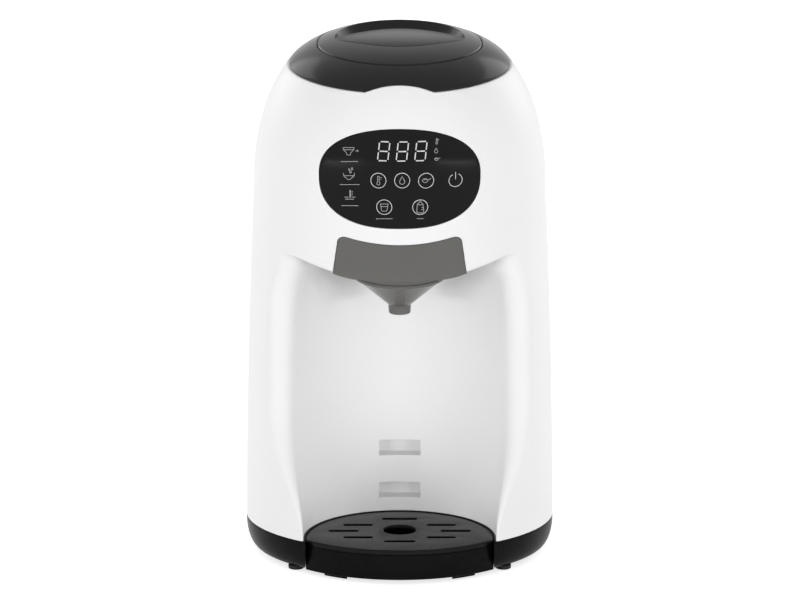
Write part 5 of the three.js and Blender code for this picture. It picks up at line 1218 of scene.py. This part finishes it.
def buildDock():
    top, well = dock["bottom"] + dock["thickness"], dock["wellRadius"]
    bottom, neckTop = dock["wellBottom"], dock["neckTop"]
    wall, mouth, wellFront = dock["wellWall"], well + dock["mouthEdge"], dock["wellY"] - well
    floorZ, portFront = bottom + wall, wellFront - dock["portReach"]
    deck = slabPiece("tankDock", dockOutline, dock["bottom"], top, 0.3, 0.8)
    tub = rod("well", well + wall, bottom, dock["bottom"] + dock["thickness"] / 2, tankSpot, 72)
    carve(deck, "UNION", tub, alongY("port", dock["portRadius"], portFront, wellFront, 0, dock["portZ"]))
    hollow = turnedPiece("wellHollow", [(0, floorZ), (dock["neckRadius"], floorZ),
        (dock["neckRadius"], neckTop), (well, neckTop), (well, top - dock["mouthEdge"]), (mouth, top),
        (mouth, top + 2), (0, top + 2)], tankSpot, 72)
    portHole = alongY("portHole", dock["portInner"], portFront - 6, dock["wellY"], 0, dock["portZ"])
    carve(deck, "DIFFERENCE", hollow, portHole)
    pin, pinTop, edge, foot = dock["pinRadius"], dock["pinTop"], dock["pinEdge"], floorZ - wall / 2
    pinProfile = [(0, foot), (pin, foot), (pin, pinTop - edge), (pin - edge, pinTop), (0, pinTop)]
    carve(deck, "UNION", turnedPiece("pin", pinProfile, tankSpot, 40))
    finishPiece(deck, "machine", "black_plastic", "tank_dock")


def levelLines():  # moulded into the rear wall of the tank, whose bulge they follow
    strokes = []
    for index in range(tank["marks"]):
        y, z = tank["rearY"] - tank["markSink"], tank["markFirst"] + index * tank["markPitch"]
        ends = [place(tank["markX"] + reach, y, z) for reach in (0, tank["markReach"][index % 2])]
        strokes.append(finer(ends, 2 * mm))
    lines = bars("levelLines", strokes, tank["markDepth"], tank["markWidth"])
    depth, power = tank["rearY"] - tank["frontY"] - tank["corner"], tank["power"]
    for vertex in lines.data.vertices:
        x = abs(vertex.co.x / mm) / tank["halfWidth"]
        vertex.co.y -= depth * (1 - (1 - x ** power) ** (1 / power)) * mm
    return lines


def buildTank():
    jar = slabPiece("waterTank", tankOutline, tank["bottom"], tank["top"], tank["footRound"], 0.7)
    inside = slabPiece("inside", tankOutline, tank["bottom"] + tank["floor"], tank["top"] + 6, 1.6, 0,
        tank["wall"])
    radius, bottom, edge = tank["spigotRadius"], tank["spigotBottom"], tank["spigotEdge"]
    top = tank["bottom"] + 1.2
    spigot = turnedPiece("spigot", [(0, bottom), (radius - edge, bottom), (radius, bottom + edge),
        (radius, top), (0, top)], tankSpot, 72)
    lugs, low = [], tank["top"] - hinge["webDrop"]
    for side in (-1, 1):
        x0, x1 = sorted((side * hinge["lugInner"], side * hinge["lugOuter"]))
        lugs.append(hingeBarrel("barrel", x0, x1))
        lugs.append(boxPiece("arm", x0, x1, tank["rearY"] - tank["wall"], hinge["y"], low, tank["top"] - gap,
            0.4, 0.4))
        lugs.append(boxPiece("web", x0, x1, hinge["y"] - hinge["web"] / 2, hinge["y"] + hinge["web"] / 2, low,
            hinge["z"], 0.4, 0.4))
    carve(jar, "UNION", spigot, *lugs)
    spigotWay = rod("way", radius - tank["spigotWall"], 10, tank["bottom"], tankSpot, 60)
    carve(jar, "DIFFERENCE", inside, spigotWay, rod("seatWay", tank["seatHole"], 20, 40, tankSpot, 60),
        hingeWay())
    carve(jar, "UNION", levelLines())
    finishPiece(jar, "tank", "clear_plastic", "water_tank")


def buildTankCover():
    low, inset = tank["top"] + gap, tank["wall"] + 2 * gap
    high, half, tabY = low + tankCover["thickness"], hinge["lugInner"] - gap, tank["frontY"] + tank["wall"]
    cover = slabPiece("tankLid", tankOutline, low, high, 0.3, 1.1)
    skirt = slabPiece("skirt", tankOutline, low - tankCover["skirt"], low + 1.5, 0.4, 0, inset)
    inner = slabPiece("inner", tankOutline, 0, low, 0, offset=inset + tankCover["skirtWall"])
    bridge = boxPiece("bridge", -half, half, tank["rearY"] - hinge["barrel"], hinge["y"], low, high, 0.3, 0.3)
    tab = boxPiece("tab", -tankCover["tabHalf"], tankCover["tabHalf"], tabY, tabY + tankCover["tabReach"],
        low, low + 2 * tankCover["thickness"], 1.2, 1)
    carve(skirt, "DIFFERENCE", inner)
    carve(cover, "UNION", skirt, hingeBarrel("knuckle", -half, half), bridge, tab)
    carve(cover, "DIFFERENCE", hingeWay())
    finishPiece(cover, "tank_cover", "dark_lid", "tank_lid")


buildDock()
buildTank()
buildTankCover()
print("stage: tank")

# spring of the tank's valve: its foot sits on the valve, its top stays under the cage
spring = {
    "radius": 4.6, "wire": 0.6, "turns": 4.0, "low": 32.5, "high": 43.1, "pointsPerTurn": 40, "wireSides": 16,
}


def coilTree():
    tree, add, calc, given = newTree("wireCoil", Coil_Radius=0.005, Wire_Radius=0.0005, Turns=4.0,
        Height=0.01)
    coil = add("GeometryNodeCurveSpiral", {"Resolution": spring["pointsPerTurn"], "Rotations": given["Turns"],
        "Height": given["Height"], "Start Radius": given["Coil Radius"], "End Radius": given["Coil Radius"]})
    wire = add("GeometryNodeCurvePrimitiveCircle", {"Resolution": spring["wireSides"],
        "Radius": given["Wire Radius"]}, mode="RADIUS")
    return endTree(tree, add, given, spread(add, given, swept(add, coil, wire)))


def buildSpring():
    foot, top = place(0, dock["wellY"], spring["low"]), place(0, dock["wellY"], spring["high"])
    coil = grown("valveSpring", pointCloud("springFoot", [(0, dock["wellY"], spring["low"])]), coilTree(),
        {"Coil Radius": spring["radius"] * mm, "Wire Radius": spring["wire"] * mm, "Turns": spring["turns"],
        "Height": (spring["high"] - spring["low"]) * mm, "Finish": materials["steel"]})
    cleanUp(coil, 60)
    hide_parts("valve_spring")
    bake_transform(coil)
    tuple(foot)
    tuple(top)


buildSpring()
print("stage: valve spring")

# marks on the touch panel: drawn flat in the panel's width and height, then laid on its curved face
marks = {
    "ringKeys": ((-13.8, 272.8, "thermometer"), (1.6, 273.05, "drop"), (17.1, 272.6, "scoop"),
        (-10.0, 255.1, "cup"), (13.3, 255.0, "bottle")),
    "lamps": ((-33.1, 290.9, "funnelOut"), (-32.9, 276.0, "funnelWash"), (-32.3, 262.0, "heating")),
    "units": ((24.0, 298.0, "thermometer"), (23.6, 292.0, "drop"), (24.2, 286.4, "scoop")), "unitSize": 0.62,
    "bars": ((-32.7, 284.1, 5.6), (-32.4, 268.9, 6.4), (-32.3, 254.8, 5.6), (-10.0, 247.3, 5.4),
        (13.3, 247.3, 2.2)),
    "power": (36.2, 271.5, 4.3), "powerTurn": (118, 422), "powerStroke": (0.6, 5.4),
    "digits": (-10.35, 1.75, 13.75), "digitHalf": 3.35, "digitBottom": 286.0, "digitTop": 298.4,
    "digitGap": 0.75, "ringRadius": 4.93, "ringWidth": 0.38, "lineWidth": 0.32, "barWidth": 0.3,
    "digitWidth": 0.74, "thickness": 0.3, "proud": 0.04, "lean": 0.11, "levelling": 0.2925, "fineness": 0.8,
}


def drop(x, z, size):  # a drop with its tip up
    return [(x, z + size)] + arc(x, z - size * 0.3, size * 0.62, 25, -205, 20) + [(x, z + size)]


pictures = {
    "thermometer": [arc(0, -1.9, 1.0, 60, -240), [(0.5, -1.05), (0.5, 2.4)], [(-0.5, -1.05), (-0.5, 2.4)],
        arc(0, 2.4, 0.5, 0, 180, 8), [(1.3, 2.0), (2.2, 2.0)], [(1.3, 0.9), (1.9, 0.9)]],
    "drop": [drop(0, 0, 2.7)],
    "scoop": [arc(-0.6, 0.6, 1.9, 180, 360, 16) + [(-2.5, 0.6)], [(1.3, 0.6), (3.2, 1.5)],
        [(-1.7, 1.3), (0.5, 1.3)]],
    "cup": [[(-2.5, 2.3), (-1.75, -2.2), (-1.2, -2.7), (1.2, -2.7), (1.75, -2.2), (2.5, 2.3)],
        [(-2.5, 2.3), (-1.3, 2.0), (0, 2.3), (1.3, 2.0), (2.5, 2.3)], [(-2.0, 0.4), (2.0, 0.4)]],
    "bottle": [[(-2.0, 1.6), (-2.2, -3.2), (-1.6, -3.8), (1.6, -3.8), (2.2, -3.2), (2.0, 1.6), (-2.0, 1.6)],
        [(-1.6, 1.7), (-1.6, 2.6), (-0.6, 2.9), (-0.45, 4.1), (0.45, 4.1), (0.6, 2.9), (1.6, 2.6),
        (1.6, 1.7)], [(0.8, -0.3), (1.9, -0.3)], [(0.8, -1.7), (1.9, -1.7)]],
    "funnelOut": [[(-3.6, 2.3), (3.6, 2.3), (3.4, 0.9), (1.4, -1.1), (1.1, -2.5), (-1.1, -2.5), (-1.4, -1.1),
        (-3.4, 0.9), (-3.6, 2.3)], [(-3.3, 0.9), (3.3, 0.9)], [(4.4, 0.1), (6.3, 0.1)],
        [(5.5, 0.8), (6.3, 0.1), (5.5, -0.6)]],
    "funnelWash": [[(-3.6, 0.6), (-3.5, -1.2), (-0.6, -3.8), (0.6, -3.8), (3.5, -1.2), (3.6, 0.6)],
        [(-3.5, -1.2), (3.5, -1.2)], drop(1.0, 1.5, 1.0), drop(2.0, 3.4, 0.8), drop(0.0, 3.0, 0.6)],
    "heating": [[(0, -1.8), (0, 3.2)], [(0.35, -1.8), (0.35, 3.2)], [(1.0, 2.4), (1.9, 2.4)],
        [(1.0, 1.2), (1.9, 1.2)], [(1.0, 0.0), (1.9, 0.0)], [(-3.4, -1.7), (-2.6, -1.3), (-1.8, -1.7),
        (-1.0, -1.3)], [(1.2, -1.3), (2.0, -1.7), (2.8, -1.3), (3.6, -1.7)],
        [(-3.0, -3.1), (-2.2, -2.7), (-1.4, -3.1), (-0.6, -2.7), (0.2, -3.1), (1.0, -2.7), (1.8, -3.1),
        (2.6, -2.7)]],
}


def drawPanel(name, strokes, width, finish):
    flat = [finer([(x * mm, z * mm, 0.0) for x, z in stroke], marks["fineness"] * mm) for stroke in strokes]
    piece = bars(name, flat, width, marks["thickness"])
    for vertex in piece.data.vertices:
        x, z, rise = vertex.co / mm
        vertex.co = place(x, frontY(x, z) - rise - marks["proud"] + marks["thickness"] / 2, z)
    finishPiece(cleanUp(piece, 40), "machine", "touch_panel", material=materials[finish])


def level(strokes, x, z):  # keeps a mark level to the eye on the curved panel
    return [[(u, v + marks["levelling"] * (frontY(x, z) - frontY(u, z))) for u, v in stroke]
        for stroke in strokes]


def pictureAt(label, x, z, size=1.0):
    return level([[(x + u * size, z + v * size) for u, v in stroke] for stroke in pictures[label]], x, z)


def digitStrokes(x):
    low, high = marks["digitBottom"], marks["digitTop"]
    middle, half, space = (low + high) / 2, marks["digitHalf"], marks["digitGap"]
    lines = [((-half + space, z), (half - space, z)) for z in (low, middle, high)]
    lines += [((side * half, bottom + space), (side * half, top - space)) for side in (-1, 1)
        for bottom, top in ((low, middle), (middle, high))]
    return [[(x + u + (v - middle) * marks["lean"], v) for u, v in line] for line in lines]


powerX, powerZ, powerRadius = marks["power"]
rings = [arc(x, z, marks["ringRadius"]) for x, z, label in marks["ringKeys"]]
rings.append(arc(powerX, powerZ, powerRadius, *marks["powerTurn"]))
rings.append([(powerX, powerZ + rise) for rise in marks["powerStroke"]])
fineLines, underBars = [], []
for x, z, label in marks["ringKeys"] + marks["lamps"]:
    fineLines += pictureAt(label, x, z)
for x, z, label in marks["units"]:
    fineLines += pictureAt(label, x, z, marks["unitSize"])
for x, z, half in marks["bars"]:
    underBars += level([finer([(x - half, z), (x + half, z)], 1.0)], x, z)
drawPanel("keyRings", rings, marks["ringWidth"], "digit_print")
drawPanel("panelPictures", fineLines, marks["lineWidth"], "panel_print")
drawPanel("lampBars", underBars, marks["barWidth"], "panel_print")
drawPanel("panelDigits", [line for x in marks["digits"] for line in digitStrokes(x)], marks["digitWidth"],
    "digit_print")
print("stage: panel marks")

# studio: pale floor, soft lamps, white surroundings
light = {
    "skyLight": 0.47, "horizonLight": 0.46, "horizonFade": 4.0, "whiteSeen": 1.0,
    "floorColour": (0.9, 0.9, 0.9), "floorSelfLight": 0.72, "floorMirrored": 0.42, "floorSize": 7.0,
    "floorRough": 0.9,
}
white = (1, 1, 1, 1)
lamps = {
    "topLamp": dict(at=(0.0, 0.35, 2.2), aim=(0.0, 0.0, 0.2), size=(1.8, 1.3), power=4.0, mirrored=False),
    "leftLamp": dict(at=(-2.0, -2.1, 0.2), aim=(0.0, 0.0, 0.14), size=(1.5, 0.4), power=27.0, mirrored=False),
    "rightLamp": dict(at=(2.0, -2.1, 0.2), aim=(0.0, 0.0, 0.14), size=(1.5, 0.4), power=27.0, mirrored=False),
    "rearLeftLamp": dict(at=(-1.7, 1.5, 1.0), aim=(0.0, 0.0, 0.2), size=(1.6, 1.6), power=11.0,
        mirrored=True),
    "rearRightLamp": dict(at=(1.7, 1.5, 1.0), aim=(0.0, 0.0, 0.2), size=(1.6, 1.6), power=11.0,
        mirrored=True),
}
camera = {
    "target": (0.0002, 0.0, 0.1598), "distance": 16.0, "elevation": 16.3, "fieldWidth": 0.5227,
    "sensor": 36.0, "clipEnd": 30,
}


def buildFloor():
    size = light["floorSize"]
    mesh = bpy.data.meshes.new("floor")
    mesh.from_pydata([(-size, -size, 0), (size, -size, 0), (size, size, 0), (-size, size, 0)], [],
        [(0, 1, 2, 3)])
    material, add, calc = startMaterial("floorPaint")
    ray = add("ShaderNodeLightPath").outputs
    mirrored = calc("MAXIMUM", ray["Is Glossy Ray"], ray["Is Transmission Ray"])
    seen = calc("MULTIPLY", ray["Is Camera Ray"], light["floorSelfLight"])
    mesh.materials.append(endMaterial(material, add, {"Base Color": (*light["floorColour"], 1),
        "Roughness": light["floorRough"], "Specular IOR Level": 0.0, "Emission Color": white,
        "Emission Strength": calc("MULTIPLY_ADD", mirrored, light["floorMirrored"], seen)}))
    linked("floor", mesh)


def buildSky():
    scene.world = bpy.data.worlds.new("studio")
    scene.world.use_nodes = True
    tree = scene.world.node_tree
    add, calc = nodeTools(tree)
    parts = add("ShaderNodeSeparateXYZ", {0: add("ShaderNodeTexCoord").outputs["Generated"]}).outputs
    low = calc("POWER", calc("SUBTRACT", 1.0, calc("ABSOLUTE", parts["Z"])), light["horizonFade"])
    glow = calc("MULTIPLY_ADD", low, light["horizonLight"], light["skyLight"])
    ray = add("ShaderNodeLightPath").outputs  # white for the camera, in reflections and through clear plastic
    direct = calc("MAXIMUM", ray["Is Camera Ray"], ray["Is Glossy Ray"])
    seen = calc("MAXIMUM", direct, ray["Is Transmission Ray"])
    backdrop = tree.nodes["Background"]
    backdrop.inputs["Color"].default_value = white
    tree.links.new(ranged(add, seen, 0.0, 1.0, glow, light["whiteSeen"]), backdrop.inputs["Strength"])


def buildLamps():
    for name, setting in lamps.items():
        lamp = bpy.data.lights.new(name, "AREA")
        lamp.shape = "RECTANGLE"
        lamp.size, lamp.size_y = setting["size"]
        lamp.energy = setting["power"]
        holder = linked(name, lamp)
        holder.location = setting["at"]
        holder.visible_glossy = setting["mirrored"]
        direction = Vector(setting["aim"]) - Vector(setting["at"])
        holder.rotation_euler = direction.to_track_quat("-Z", "Y").to_euler()


def buildCamera():
    tilt = math.radians(camera["elevation"])
    data = bpy.data.cameras.new("photoCamera")
    data.sensor_width = camera["sensor"]
    data.lens = camera["sensor"] * camera["distance"] / camera["fieldWidth"]
    data.clip_end = camera["clipEnd"]
    holder = linked("photoCamera", data)
    holder.location = Vector(camera["target"]) + camera["distance"] * Vector(
        (0, -math.cos(tilt), math.sin(tilt)))
    holder.rotation_euler = (math.pi / 2 - tilt, 0, 0)
    scene.camera = holder


buildFloor()
buildSky()
buildLamps()
buildCamera()
scene.view_settings.view_transform = "Standard"
print("stage: studio ready")
